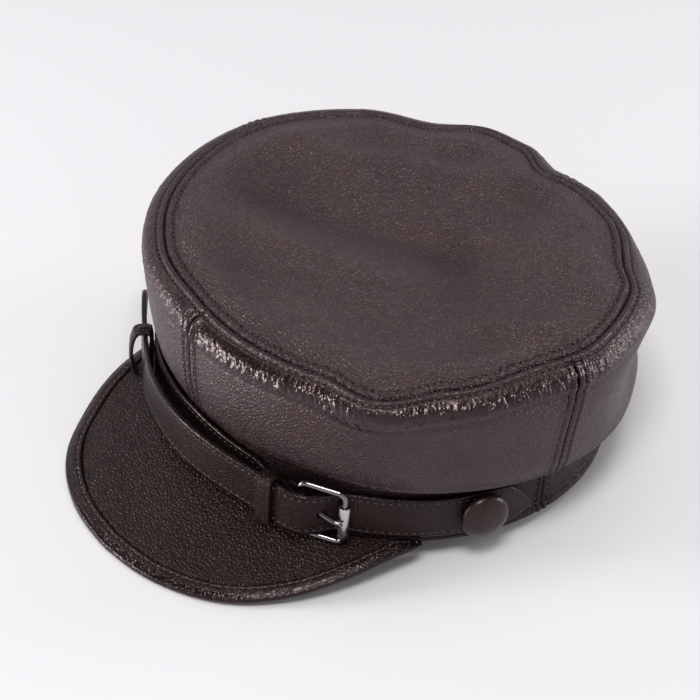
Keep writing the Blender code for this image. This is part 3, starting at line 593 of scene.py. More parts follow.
def thread(name, colour):
    m = bpy.data.materials.new(name)
    m.use_nodes = True
    t = m.node_tree
    b = t.nodes["Principled BSDF"]
    b.inputs["Roughness"].default_value = 0.42
    co = t.nodes.new("ShaderNodeTexCoord")
    wave = node(t, "ShaderNodeTexNoise", Scale=3200.0, Detail=1.0)
    t.links.new(co.outputs["Object"], wave.inputs["Vector"])
    bumps = node(t, "ShaderNodeBump", Strength=0.6, Distance=0.06 * MM)
    t.links.new(wave.outputs["Fac"], bumps.inputs["Height"])
    t.links.new(bumps.outputs[0], b.inputs["Normal"])
    tone = ramp(t, wave.outputs["Fac"], ((0.3, tuple(0.7 * c for c in colour)), (0.7, tuple(1.3 * c for c in colour))))
    t.links.new(tone, b.inputs["Base Color"])
    return m


def metal(name, colour, roughness):
    m = bpy.data.materials.new(name)
    m.use_nodes = True
    t = m.node_tree
    b = t.nodes["Principled BSDF"]
    b.inputs["Metallic"].default_value = 1.0
    co = t.nodes.new("ShaderNodeTexCoord")
    smear = node(t, "ShaderNodeTexNoise", Scale=300.0, Detail=4.0)
    t.links.new(co.outputs["Object"], smear.inputs["Vector"])
    r = node(t, "ShaderNodeMapRange", **{"From Min": 0.3, "From Max": 0.7, "To Min": roughness * 0.7,
                                         "To Max": roughness * 1.5})
    t.links.new(smear.outputs["Fac"], r.inputs["Value"])
    t.links.new(r.outputs[0], b.inputs["Roughness"])
    tone = ramp(t, smear.outputs["Fac"], ((0.3, tuple(0.85 * c for c in colour)), (0.7, tuple(min(1, 1.1 * c) for c in colour))))
    t.links.new(tone, b.inputs["Base Color"])
    scratches = node(t, "ShaderNodeTexNoise", Scale=1800.0, Detail=2.0)
    t.links.new(co.outputs["Object"], scratches.inputs["Vector"])
    bumps = node(t, "ShaderNodeBump", Strength=0.15, Distance=0.02 * MM)
    t.links.new(scratches.outputs["Fac"], bumps.inputs["Height"])
    t.links.new(bumps.outputs[0], b.inputs["Normal"])
    return m


# The parts' base colours differ: partly their own tones, partly painted light and shade. The crown top gets a lighter
# colour than the walls, and the visor and strap darker ones, after how light falls on them.
CROWN = leather("crown_leather", (0.040, 0.0190, 0.0202), roughness=0.43, grain=1.7, depth=0.66, gloss=0.58)
STRIP = leather("crown_side_leather", (0.036, 0.0170, 0.0180), roughness=0.42, grain=1.6, depth=0.28, gloss=0.60)
BAND = leather("band_leather", (0.025, 0.011, 0.011), roughness=0.46, grain=1.4, depth=0.20, gloss=0.22)
VISOR = leather("visor_leather", (0.018, 0.0072, 0.0068), roughness=0.42, grain=1.6, depth=0.42, gloss=0.22)
BINDING = leather("binding_leather", (0.018, 0.0072, 0.0065), roughness=0.34, grain=1.3, depth=0.22, gloss=0.34)
STRAP = leather("strap_leather", (0.020, 0.0088, 0.0082), roughness=0.38, grain=1.2, depth=0.18, gloss=0.26)
BUTTON = leather("button_leather", (0.024, 0.011, 0.010), roughness=0.27, grain=1.0, depth=0.03, gloss=0.40)
THREAD = thread("brown_thread", (0.056, 0.038, 0.034))
CHROME = metal("gunmetal", (0.20, 0.19, 0.19), 0.13)
ROLLER = metal("roller_metal", (0.50, 0.49, 0.48), 0.24)


# ------------------------------------------------------------------ the crown
def band_angle(x, y):
    return np.degrees(np.arctan2(x / BAND_HALF_WIDTH, -(y - BAND_CENTRE_Y) / BAND_HALF_DEPTH))


def fold_overhang(degrees):
    _, _, front, back, left, right = CROWN_SECTIONS[0][:6]
    a = np.radians(degrees)
    x = (left - right) / 2 + (left + right) / 2 * np.sin(a)
    y = (back - front) / 2 - (back + front) / 2 * np.cos(a)
    below = band_angle(x, y)
    bx, by = oval(below, 0.0, dented=True)
    return np.hypot(x, y - BAND_CENTRE_Y) - np.hypot(bx, by - BAND_CENTRE_Y), below


def crown_wall(v, degrees):
    table = [(k, *row[1:]) for k, row in enumerate(CROWN_SECTIONS)]
    z, front, back, left, right, inward, up, seam = np.moveaxis(spline(table, v), -1, 0)
    a = np.radians(degrees)
    s, c = np.sin(a), np.cos(a)
    x = (left - right) / 2 + (left + right) / 2 * s
    y = (back - front) / 2 - (back + front) / 2 * c
    out = around(SEAM_WANDER, degrees) * seam
    for angle, fz, da, dz, depth in SIDE_FOLDS:
        d = (degrees - angle + 180) % 360 - 180
        out = out + depth * np.exp(-(d / da) ** 2 - ((z - fz) / dz) ** 2)
    x, y = x + out * s, y - out * c
    slope_y = SEAM_SLOPE_Y + math.sin(math.radians(TILT_BACK))
    z = z + (SEAM_SLOPE_X * x + slope_y * y) * seam
    z = z + FOLD_LIFT * np.clip(1 - fold_overhang(degrees)[0] / 4.0, 0, 1) * np.clip(1 - v / 2, 0, 1)
    length = np.hypot(inward, up) / LEATHER
    inner = np.stack([x - s * inward / length, y + c * inward / length, z + up / length], -1)
    return np.stack([x, y, z], -1), inner


def panel_angle(start, end, v, share):
    """Angle across a side panel; share 0 and 1 are at its two seams."""
    half_gap = math.degrees(SEAM_GAP / 2 / 100.0)
    w = v / (len(CROWN_SECTIONS) - 1)
    a = start[0] + (start[1] - start[0]) * w + half_gap
    b = end[0] + (end[1] - end[0]) * w - half_gap
    return a + (b - a) * share


def side_rows():
    """Depth below the top seam: the first rows in mm, the rest as shares of
    what is left down to the fold."""
    near = np.r_[np.arange(0, 1.4, 0.28), np.arange(1.4, 6.2, 0.36), np.arange(6.2, 19.0, 0.52)]
    rest = 1 - (1 - np.linspace(0, 1, 33)[1:]) ** 1.35
    return near, rest


def side_surface(start, end, share, near, rest):
    """Points of a side panel's outside at shares across and depths down, with
    the depth (mm), the distances to both seams (mm) and the angle."""
    vt = np.linspace(7, 0, 141)
    V, S = np.meshgrid(vt, share, indexing="ij")
    P = crown_wall(V, panel_angle(start, end, V, S))[0]
    arc = np.vstack([np.zeros((1, len(share))), np.cumsum(np.linalg.norm(np.diff(P, axis=0), axis=-1), axis=0)])
    rows = len(near) + len(rest)
    vr = np.empty((rows, len(share)))
    depth = np.empty_like(vr)
    for j in range(len(share)):
        total = arc[-1, j]
        last = near[-1] if len(near) else 0.0
        depth[:, j] = np.r_[near, last + rest * (total - last)]
        vr[:, j] = np.interp(depth[:, j], arc[:, j], vt)
    S = np.broadcast_to(share, vr.shape)
    angle = panel_angle(start, end, vr, S)
    p = crown_wall(vr, angle)[0]
    reach = np.hypot(p[..., 0], p[..., 1])
    to_start = np.radians(angle - panel_angle(start, end, vr, 0.0 * S)) * reach
    to_end = np.radians(panel_angle(start, end, vr, 0.0 * S + 1) - angle) * reach
    return p, depth, to_start, to_end, angle, vr


def pucker(angle, depth, seed):
    """Tight ripples that run away from the top seam."""
    ripple = ring_noise(angle, 800, depth / 1.5, seed) * 0.26
    ripple = ripple + ring_noise(angle, 600, depth / 2.2, seed + 1) * 0.16
    ripple = ripple + ring_noise(angle, 200, depth / 6.0, seed + 2) * 0.08
    return ripple


def side_detail(depth, to_start, to_end, angle, from_fold=99.0):
    """How far the leather stands out, where shade is painted into its seams, stitch lines and the crease under the
    puckered strip, and how shiny; the shiny places are also painted darker."""
    strength = around(PUCKER_STRENGTH, angle)
    out = -1.6 * np.clip(1 - depth / 1.1, 0, 1) ** 2
    out = out + 0.55 * bump(depth, 1.9, 0.8) - 0.80 * bump(depth, SEAM_STITCH, 0.55)
    # puckered strip under the seam, with a crease where it ends
    edge = PUCKER_DEPTH + 1.2 * ring_noise(angle, 26, 0.5, 31)
    strip = smooth(3.8, 6.0, depth) * (1 - smooth(edge - 1.8, edge, depth))
    lower = 0.45 + 0.75 * smooth(6.0, 10.0, depth)
    out = out + strength * strip * lower * pucker(angle, depth, 11)
    out = out + strength * 0.85 * smooth(4.0, 10.0, depth) * (1 - smooth(edge - 2.6, edge + 0.8, depth))
    out = out - strength * 0.30 * bump(depth, edge + 1.1, 1.2)
    # scallops that the stitches pull
    wave = np.cos(np.radians(angle) * 100.0 / STITCH * 2 * math.pi)
    out = out + 0.12 * wave * bump(depth, SEAM_STITCH, 0.9) * (0.4 + strength)
    # upright seams
    low = smooth(1.5, 4.0, depth)
    # painted shade in the seam grooves, the stitch lines and the crease below the puckered strip
    crease_shade = bump(depth, 0.0, 0.6)
    for d in (to_start, to_end):
        out = out + low * (-1.3 * np.clip(1 - d / 0.9, 0, 1) ** 2 + 0.50 * bump(d, 1.8, 0.85)
                           - 0.80 * bump(d, 3.8, 0.55) + 0.25 * bump(d, 5.4, 0.9))
        near = bump(d, 0, 7.0) * (1 - smooth(10, 26, depth))
        out = out + near * 0.30 * noise(depth / 1.5, d / 4.0, 47)
        crease_shade = np.maximum(crease_shade, bump(d, 0.0, 0.5))
        crease_shade = np.maximum(crease_shade, bump(d, 3.8, 0.6))
    crease_shade = np.maximum(crease_shade, bump(depth, SEAM_STITCH, 0.6))
    crease_shade = np.maximum(crease_shade, 0.4 * np.clip(strength, 0, 1) * bump(depth, edge + 1.1, 1.2))
    # soft unevenness of the whole wall
    out = out + 0.45 * ring_noise(angle, 22, depth / 22.0, 5) * smooth(4, 16, depth)
    # rolled lower edge
    out = out + 0.70 * bump(from_fold, 1.5, 0.8) - 0.25 * bump(from_fold, 3.6, 1.0)
    # glossy and painted darker as shade: the puckered strip, the ridges beside the seams and the rolled lower edge
    gloss_and_shade = strip * np.clip(strength, 0, 1)
    ridge = np.maximum(bump(depth, 1.7, 0.7), low * np.maximum(bump(to_start, 1.7, 0.7), bump(to_end, 1.7, 0.7)))
    gloss_and_shade = np.maximum(gloss_and_shade, 0.75 * np.maximum(ridge, bump(from_fold, 1.9, 0.8)))
    return out, crease_shade, gloss_and_shade


def outward_field(p):
    n = np.zeros_like(p)
    n[..., 0], n[..., 1] = p[..., 0], p[..., 1]
    n[..., 2] = 60.0 * smooth(66.0, 78.0, p[..., 2])
    return unit(n)


def crown_side(name, start, end):
    near, rest = side_rows()
    count = 92 * 4 + 1
    # closer columns beside the upright seams
    share = np.linspace(0, 1, count)
    share = share - 0.012 * np.sin(4 * math.pi * share) * 0.55
    p, depth, to_start, to_end, angle, vr = side_surface(start, end, share, near, rest)
    out, crease_shade, gloss_and_shade = side_detail(depth, to_start, to_end, angle, depth[-1:] - depth)
    n = grid_normals(p, outward_field(p))
    outer = p + n * out[..., None]
    # the fold at the bottom turns in over the top of the band
    overhang, below = fold_overhang(angle[-1])
    fold = outer[-1]
    inward = np.zeros_like(fold)
    inward[:, 0], inward[:, 1] = -np.sin(np.radians(angle[-1])), np.cos(np.radians(angle[-1]))
    lip = np.clip(overhang / 5.0, 0.12, 1.0)[:, None]
    rows = [fold + inward * lip * (1.2 * (1 - math.cos(a))) + np.array([0, 0, -0.9 * math.sin(a)]) * lip
            for a in np.radians((30, 60, 90))]
    for off in (np.minimum(0.9, overhang / 2 - 1.2), np.minimum(0.4, overhang / 2 - 1.5), -1.0, -2.0):
        rows.append(on_band(below, off, BAND_HEIGHT + BAND_CLEAR, dented=True))
    total = len(outer) + len(rows)
    while (total - 1) % 4:
        rows.insert(3, (rows[2] * 0.5 + rows[3] * 0.5))
        total += 1
    extra = len(rows)
    outer = np.concatenate([outer, np.array(rows)])
    base_o, base_i = crown_wall(vr, angle)
    inner = base_i
    flange = [base_i[-1] * (1 - w) + (on_band(below, -2.0, BAND_HEIGHT + BAND_CLEAR + LEATHER, dented=True)) * w
              for w in np.linspace(0, 1, extra + 1)[1:]]
    inner = np.concatenate([inner, np.array(flange)])[::4, ::4]
    pad = lambda g: np.concatenate([g, np.repeat(g[-1:] * 0, extra, axis=0)])
    ob = sheet_object(name + "_skin", outer, inner, 4, STRIP, marks={"crease_shade": pad(crease_shade), "gloss_and_shade": pad(gloss_and_shade)})
    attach(ob, "root")
    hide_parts(name)
    return ob


def top_height(x, y):
    h = np.zeros_like(x)
    for x0, y0, x1, y1, spread, height in TOP_FOLDS:
        dx, dy = x1 - x0, y1 - y0
        t = np.clip(((x - x0) * dx + (y - y0) * dy) / (dx * dx + dy * dy), 0, 1)
        d2 = (x - x0 - t * dx) ** 2 + (y - y0 - t * dy) ** 2
        h = h + 1.5 * height * np.exp(-d2 / spread ** 2)
    return h


def top_surface(angle, inset):
    """Points of the top panel at angles and at distances (mm) inside its
    rim."""
    edge = crown_wall(np.full(angle.shape, 7.0), angle)[0]
    centre = TOP_CENTRE
    r = np.hypot(edge[..., 0] - centre[0], edge[..., 1] - centre[1])
    u = np.clip((r - TOP_GAP - inset) / r, 0, 1)
    p = centre + (edge - centre) * u[..., None]
    free = np.clip((1 - u) / 0.16, 0, 1)
    p[..., 2] = (centre[2] + (edge[..., 2] - centre[2]) * u ** 1.5 + TOP_PUFF * np.exp(-((u - 0.86) / 0.09) ** 2)
                 - TOP_SAG * (1 - u ** 2) + top_height(p[..., 0], p[..., 1]) * free)
    return p


def top_detail(angle, inset, p):
    strength = around(PUCKER_STRENGTH, angle)
    out = -1.5 * np.clip(1 - inset / 1.0, 0, 1) ** 2
    out = out + 0.55 * bump(inset, 1.7, 0.8) - 0.75 * bump(inset, SEAM_STITCH, 0.55)
    wave = np.cos(np.radians(angle) * 96.0 / STITCH * 2 * math.pi)
    out = out + 0.08 * wave * bump(inset, SEAM_STITCH, 0.9)
    pull = smooth(3.2, 4.6, inset) * (1 - smooth(5.5, 11.0, inset))
    out = out + 0.34 * strength * pull * pucker(angle, inset, 71)
    out = out + 0.30 * noise(p[..., 0] / 26.0, p[..., 1] / 26.0, 3) * smooth(6, 20, inset)
    # painted shade in the seam groove and along the stitch line
    crease_shade = np.maximum(bump(inset, 0.0, 0.6), bump(inset, SEAM_STITCH, 0.6))
    return out, crease_shade


_ring = np.arange(720) * 0.5 - 180.0
TOP_CENTRE = crown_wall(np.full(720, 7.0), _ring)[0].mean(axis=0)


def crown_top():
    count = 1200
    angle = np.arange(count) * 360.0 / count - 180.0
    near = np.r_[np.arange(0, 1.2, 0.3), np.arange(1.2, 6.0, 0.4), np.arange(6.0, 14.0, 0.8)]
    r_min = 4.0
    edge = crown_wall(np.full(count, 7.0), angle)[0]
    r = np.hypot(edge[:, 0] - TOP_CENTRE[0], edge[:, 1] - TOP_CENTRE[1])
    deep = 39
    rows = len(near) + deep
    while (rows - 1) % 4:
        deep += 1
        rows += 1
    share = np.linspace(0, 1, deep + 1)[1:] ** 0.9
    inset = np.concatenate([np.repeat(near[:, None], count, 1),
                            near[-1] + share[:, None] * (r - r_min - near[-1])[None, :]])
    ang = np.broadcast_to(angle, inset.shape)
    p = top_surface(ang, inset)
    out, crease_shade = top_detail(ang, inset, p)
    up = np.zeros_like(p)
    up[..., 2] = 1
    n = grid_normals(np.concatenate([p, p[:, :1]], axis=1), np.concatenate([up, up[:, :1]], axis=1))[:, :-1]
    n = unit(n + up * 1e-6)
    outer = p + n * out[..., None]
    inner = (p - np.array([0, 0, LEATHER]))[::4, ::4]
    middle = outer[-1].mean(axis=0)
    # the ridge inside the top seam is made glossy and painted darker as shade
    ob = sheet_object("crown_top_skin", outer, inner, 4, CROWN, wrap=True,
                      middle=(middle, middle - np.array([0, 0, LEATHER])),
                      marks={"crease_shade": crease_shade, "gloss_and_shade": 0.75 * bump(inset, 1.6, 0.7)})
    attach(ob, "root")
    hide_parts("crown_top")
    return ob


# ------------------------------------------------------------------- stitches
def stitch_mesh(name, rows, radius=0.30, length=0.66, sink=0.10):
    """rows: (points, normals) of a sewn line in the cap's frame, points one
    pitch apart. Each stitch is a short bowed thread with its ends let into
    the leather."""
    sides, steps = 6, 5
    verts, faces = [], []
    ring = 2 * math.pi * np.arange(sides) / sides
    for points, normals in rows:
        points, normals = np.asarray(points, float), unit(np.asarray(normals, float))
        for i in range(len(points) - 1):
            a, b = points[i], points[i + 1]
            gap = np.linalg.norm(b - a)
            if gap < 0.5 or gap > 3 * STITCH:
                continue
            g = (b - a) / gap
            n = unit(normals[i] + normals[i + 1])
            side = unit(np.cross(g, n))
            mid = (a + b) / 2
            base = len(verts)
            for k in range(steps):
                w = k / (steps - 1) * 2 - 1
                bow = (1 - w * w)
                q = mid + g * (w * gap * length / 2) + n * (radius * 0.95 * bow - sink - 0.35 * (1 - bow))
                rad = radius * (0.55 + 0.45 * bow)
                for c, s in zip(np.cos(ring), np.sin(ring)):
                    verts.append(q + rad * (c * side * 1.1 + s * n * 0.85))
            for f in tube_faces(steps, sides):
                faces.append([base + x for x in f])
    ob = mesh_object(name, seat(np.array(verts)), faces, THREAD, sharp=None)
    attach(ob, "root")
    return ob


def resample(points, extra, pitch):
    """Points every pitch mm along a line, with what belongs to them."""
    points = np.asarray(points, float)
    s = np.r_[0, np.cumsum(np.linalg.norm(np.diff(points, axis=0), axis=1))]
    n = max(2, int(round(s[-1] / pitch)))
    at = np.linspace(0, s[-1], n + 1)
    take = lambda a: np.stack([np.interp(at, s, a[:, k]) for k in range(a.shape[1])], 1)
    return take(points), take(np.asarray(extra, float))


def crown_stitches():
    rows = []
    # beside the top seam, on the panel and on the sides
    d = np.linspace(-180, 180, 1441)
    inset = np.full(d.shape, SEAM_STITCH)
    p = top_surface(d, inset)
    out, _ = top_detail(d, inset, p)
    q = top_surface(d, inset + 0.5)
    t = np.gradient(p, axis=0)
    n = unit(np.cross(t, q - p))
    n = n * np.sign(n[:, 2:3])
    rows.append(resample(p + n * (out[:, None] + 0.05), n, STITCH))
    for start, end in PANELS.values():
        share = np.linspace(0.0, 1.0, 400)
        for near, edge_share in ((np.array([SEAM_STITCH - 0.5, SEAM_STITCH, SEAM_STITCH + 0.5]), None),):
            p, depth, a, b, ang, _ = side_surface(start, end, share, near, np.empty(0))
            out, _, _ = side_detail(depth, a, b, ang)
            n = grid_normals(p, outward_field(p))
            rows.append(resample((p + n * (out[..., None] + 0.05))[1], n[1], STITCH))
        # beside the upright seams
        for at_start in (True, False):
            near, rest = np.arange(5.0, 19.0, 1.0), np.linspace(0, 1, 30)[1:]
            fine = np.linspace(0, 1, 2001)
            share = fine[:120] if at_start else fine[-120:]
            p, depth, a, b, ang, _ = side_surface(start, end, share, near, rest)
            out, _, _ = side_detail(depth, a, b, ang)
            n = grid_normals(p, outward_field(p))
            line, norm = [], []
            gap = a if at_start else b
            for i in range(len(p)):
                j = int(np.argmin(np.abs(gap[i] - 3.8)))
                line.append(p[i, j] + n[i, j] * (out[i, j] + 0.05))
                norm.append(n[i, j])
            rows.append(resample(np.array(line), np.array(norm), STITCH))
    ob = stitch_mesh("crown_stitches", rows)


# ------------------------------------------------------------------- the band
def band_profile(z):
    """How far the band's outside stands out at height z: a rolled hem, a sewn
    line above it, and a plain face."""
    out = np.zeros_like(z)
    out = out + 1.25 * np.sqrt(np.clip(1 - ((z - 1.35) / 1.4) ** 2, 0, 1))
    out = out - 0.25 * bump(z, 3.1, 0.45) - 0.28 * bump(z, 4.6, 0.35) + 0.16 * bump(z, 3.85, 0.4)
    return out


def band_point(d, z, extra=0.0):
    off = band_profile(z) + extra
    off = off + 0.10 * ring_noise(d, 180, z / 2.0, 21) * (1 - smooth(3.5, 6.5, z))
    for seam in BAND_SEAMS:
        s = np.abs((d - seam + 180) % 360 - 180) * math.pi / 180 * BAND_HALF_WIDTH
        off = off - 1.0 * np.clip(1 - s / 0.8, 0, 1) ** 2 + 0.45 * bump(s, 1.7, 0.8) - 0.5 * bump(s, 3.2, 0.5)
    off = off + 0.35 * ring_noise(d, 24, z / 16.0, 22) * smooth(5, 12, z)
    p = seat(on_band(d, off, z, dented=True))
    return rear_press(p, d, z)


def rear_press(p, d, z):
    """At the back the soft hem is pressed flat on the table."""
    foot = seat(on_band(d, np.zeros_like(z), np.zeros_like(z), dented=True))[..., 2]
    away = np.abs((d + 180) % 360 - 180)
    press = np.clip((away - (180 - REAR_FLAT_ANGLE - 27)) / 27.0, 0, 1)
    press = press * press * (3 - 2 * press)
    p[..., 2] = np.maximum(p[..., 2] - foot * press * np.clip(1 - z / 16.0, 0, 1), 0.0)
    return p


def headband():
    count = 960
    d = np.arange(count) * 360.0 / count - 180.0
    z = np.r_[np.arange(0, 6.0, 0.3), np.arange(6.0, 31.7, 1.2), BAND_HEIGHT]
    while (len(z) - 1) % 4:
        z = np.insert(z, 21, (z[20] + z[21]) / 2)
    Z, D = np.meshgrid(z, d, indexing="ij")
    outer = band_point(D, Z)
    Zi, Di = Z[::4, ::4], D[::4, ::4]
    inner = rear_press(seat(on_band(Di, np.full(Zi.shape, -BAND_WALL), Zi, dented=True)), Di, Zi)
    # painted shade in the grooves above the hem, along the sewn line and at the band's seams; the hem bead is made
    # glossier and painted darker
    crease_shade = np.maximum(0.7 * bump(Z, 3.05, 0.3), 0.5 * bump(Z, 4.6, 0.3))
    for seam in BAND_SEAMS:
        s = np.abs((D - seam + 180) % 360 - 180) * math.pi / 180 * BAND_HALF_WIDTH
        crease_shade = np.maximum(crease_shade, np.maximum(bump(s, 0, 0.6), 0.8 * bump(s, 3.2, 0.5)))
    ob = sheet_object("headband_skin", outer, inner, 4, BAND, wrap=True,
                      marks={"crease_shade": crease_shade, "gloss_and_shade": 0.5 * bump(Z, 1.3, 1.0)}, seated=False)
    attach(ob, "root")
    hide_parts("headband")
    # sewn line above the hem, and beside the band's own seams
    rows = []
    d = np.linspace(-180, 180, 1441)
    line = band_point(d, np.full(d.shape, 4.6), 0.05)
    rows.append(resample(line / MM, np.stack([np.sin(np.radians(d)), -np.cos(np.radians(d)), 0 * d], 1), STITCH))
    for seam in BAND_SEAMS:
        for side in (-3.2, 3.2):
            a = seam + math.degrees(side / BAND_HALF_WIDTH)
            zz = np.linspace(5.5, 29.5, 40)
            line = band_point(np.full(zz.shape, a), zz, 0.05)
            nn = np.tile([math.sin(math.radians(a)), -math.cos(math.radians(a)), 0], (len(zz), 1))
            rows.append(resample(line / MM, nn, STITCH))
    ob = seated_stitches("band_stitches", rows)


def seated_stitches(name, rows):
    """Stitches on points that are already in the world's millimetres."""
    t = math.radians(TILT_BACK)
    undone = []
    for p, n in rows:
        x, y, z = p[:, 0] - BOX_SHIFT_X, p[:, 1] - TIP_LINE_Y - BOX_SHIFT_Y, p[:, 2]
        undone.append((np.stack([x, y * math.cos(t) - z * math.sin(t) + TIP_LINE_Y, y * math.sin(t) + z * math.cos(t)], 1), n))
    return stitch_mesh(name, undone)


# ------------------------------------------------------------------ the visor
def visor_root(d):
    return VISOR_ROOT - FRONT_DENT * np.exp(-(d / FRONT_DENT_ANGLE) ** 2)


def visor_length(d):
    return spline(VISOR_SECTIONS, np.abs(d - VISOR_TURN))[..., 0]


def visor_point(d, along, above):
    slope = np.radians(spline(VISOR_SECTIONS, np.abs(d - VISOR_TURN))[..., 1])
    x, y = oval(d, along * np.cos(slope) + above * np.sin(slope))
    z = VISOR_LIFT - along * np.sin(slope) + above * np.cos(slope)
    p = seat(np.stack([x, y, z], -1))
    p[..., 2] = np.maximum(p[..., 2], 0.0)
    return p


def last_angle(width):
    d = np.arange(30.0, 62.0, 0.1)
    return float(d[visor_length(d) - visor_root(d) >= width][-1])


def visor():
    end = last_angle(BINDING_WIDTH + 1.5) - VISOR_TURN
    d = VISOR_TURN + np.linspace(-end, end, 80 * 4 + 1)
    share = np.r_[np.linspace(0, 0.8, 25), np.linspace(0.8, 1.0, 17)[1:]]
    U, D = np.meshgrid(share, d, indexing="ij")
    edge = visor_length(D) - BINDING_WIDTH - 0.15
    root = visor_root(D)
    along = root + (edge - root) * U
    from_edge = edge - along
    above = VISOR_WALL / 2 + 0.25 * noise(D / 9.0, along / 12.0, 61) - 0.55 * bump(from_edge, 0, 0.6)
    above = above + 0.10 * noise(D * 1.7 / 1.6, along / 4.0, 62) * bump(from_edge, 0, 5.0)
    outer = visor_point(D, along, above)
    inner = visor_point(D, along, np.full(D.shape, -VISOR_WALL / 2))[::4, ::4]
    # painted shade where the visor meets its binding
    ob = sheet_object("visor_skin", outer, inner, 4, VISOR, seated=False,
                      marks={"crease_shade": bump(from_edge, 0, 0.7), "gloss_and_shade": 0 * D})
    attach(ob, "root")
    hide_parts("visor")


def binding_section(width):
    """Closed outline of the binding across its width: (back from the edge,
    height), from its inner edge over the top, round the edge and back
    below."""
    r = BINDING_WALL / 2
    pts = [(width, -0.2 * r), (width + 0.02, 0.45 * r), (width - 0.25, 0.92 * r), (width - 0.7, 1.12 * r),
           (width - 1.2, 1.12 * r), (width - 1.6, 0.98 * r), (width - 2.0, 1.06 * r), (width - 2.8, 1.26 * r)]
    for q in np.linspace(0, 1, 9)[1:-1]:
        b = (width - 2.8) * (1 - q) + 1.7 * q
        pts.append((b, (1.26 + 0.12 * math.sin(math.pi * q)) * r - 0.26 * r * q))
    for a in np.linspace(95, -95, 13):
        w = math.radians(a)
        pts.append((1.55 - 1.55 * math.cos(w), r * math.sin(w)))
    for q in np.linspace(0, 1, 6)[1:]:
        pts.append((1.7 * (1 - q) + (width - 0.1) * q, -r * (1 - 0.06 * q)))
    return np.array(pts)


def visor_binding():
    end = last_angle(2.0) - VISOR_TURN
    count = 520
    d = VISOR_TURN + np.linspace(-end, end, count)
    length, root = visor_length(d), visor_root(d)
    rings, crease_shade, gloss_and_shade = [], [], []
    arc = np.r_[0, np.cumsum(np.linalg.norm(np.diff(seat(np.stack(oval(d, length) + (0 * d,), -1)), axis=0), axis=1))] / MM
    for k in range(count):
        width = min(BINDING_WIDTH, length[k] - root[k] - 0.1)
        taper = min(1.0, 0.45 + 0.55 * width / BINDING_WIDTH)
        sec = binding_section(width)
        top = sec[:, 1] > 0
        q = np.clip(sec[:, 0] / max(width, 0.1), 0, 1)
        wob = 0.07 * noise(arc[k] / 2.1, sec[:, 0] / 3.0, 81) + 0.12 * noise(arc[k] / 6.0, sec[:, 0] / 6.0, 82)
        h = sec[:, 1] * taper + np.where(top, wob * smooth(0.05, 0.3, q), 0)
        h = h + np.where(top, 0.08 * math.cos(2 * math.pi * arc[k] / STITCH) * bump(sec[:, 0], width - 1.6, 0.6), 0)
        dd = np.full(len(sec), d[k])
        rings.append(visor_point(dd, length[k] - sec[:, 0], h))
        # painted shade along the binding's stitch line and where it meets the visor; its outer part is made glossier
        # and painted darker
        crease_shade.append(np.where(top, 0.55 * bump(sec[:, 0], width - 1.6, 0.35), 0) + bump(sec[:, 0], width, 0.3))
        gloss_and_shade.append(np.where(top, 0.8 * bump(sec[:, 0], 1.8, 2.2), 0))
    rings = np.array(rings)
    cols = rings.shape[1]
    ob = mesh_object("visor_binding_skin", rings.reshape(-1, 3), tube_faces(count, cols), BINDING,
                     {"crease_shade": np.clip(np.array(crease_shade), 0, 1).ravel(), "gloss_and_shade": np.array(gloss_and_shade).ravel()})
    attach(ob, "root")
    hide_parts("visor_binding")
    # stitches along the binding's inner edge
    wide = (length - root) > BINDING_WIDTH + 0.5
    back = BINDING_WIDTH - 1.6
    line = visor_point(d[wide], length[wide] - back, np.full(wide.sum(), BINDING_WALL / 2 * 1.0 + 0.02)) / MM
    rows = [resample(line, np.tile([0.0, 0.0, 1.0], (len(line), 1)), STITCH)]
    seated_stitches("visor_stitches", rows)


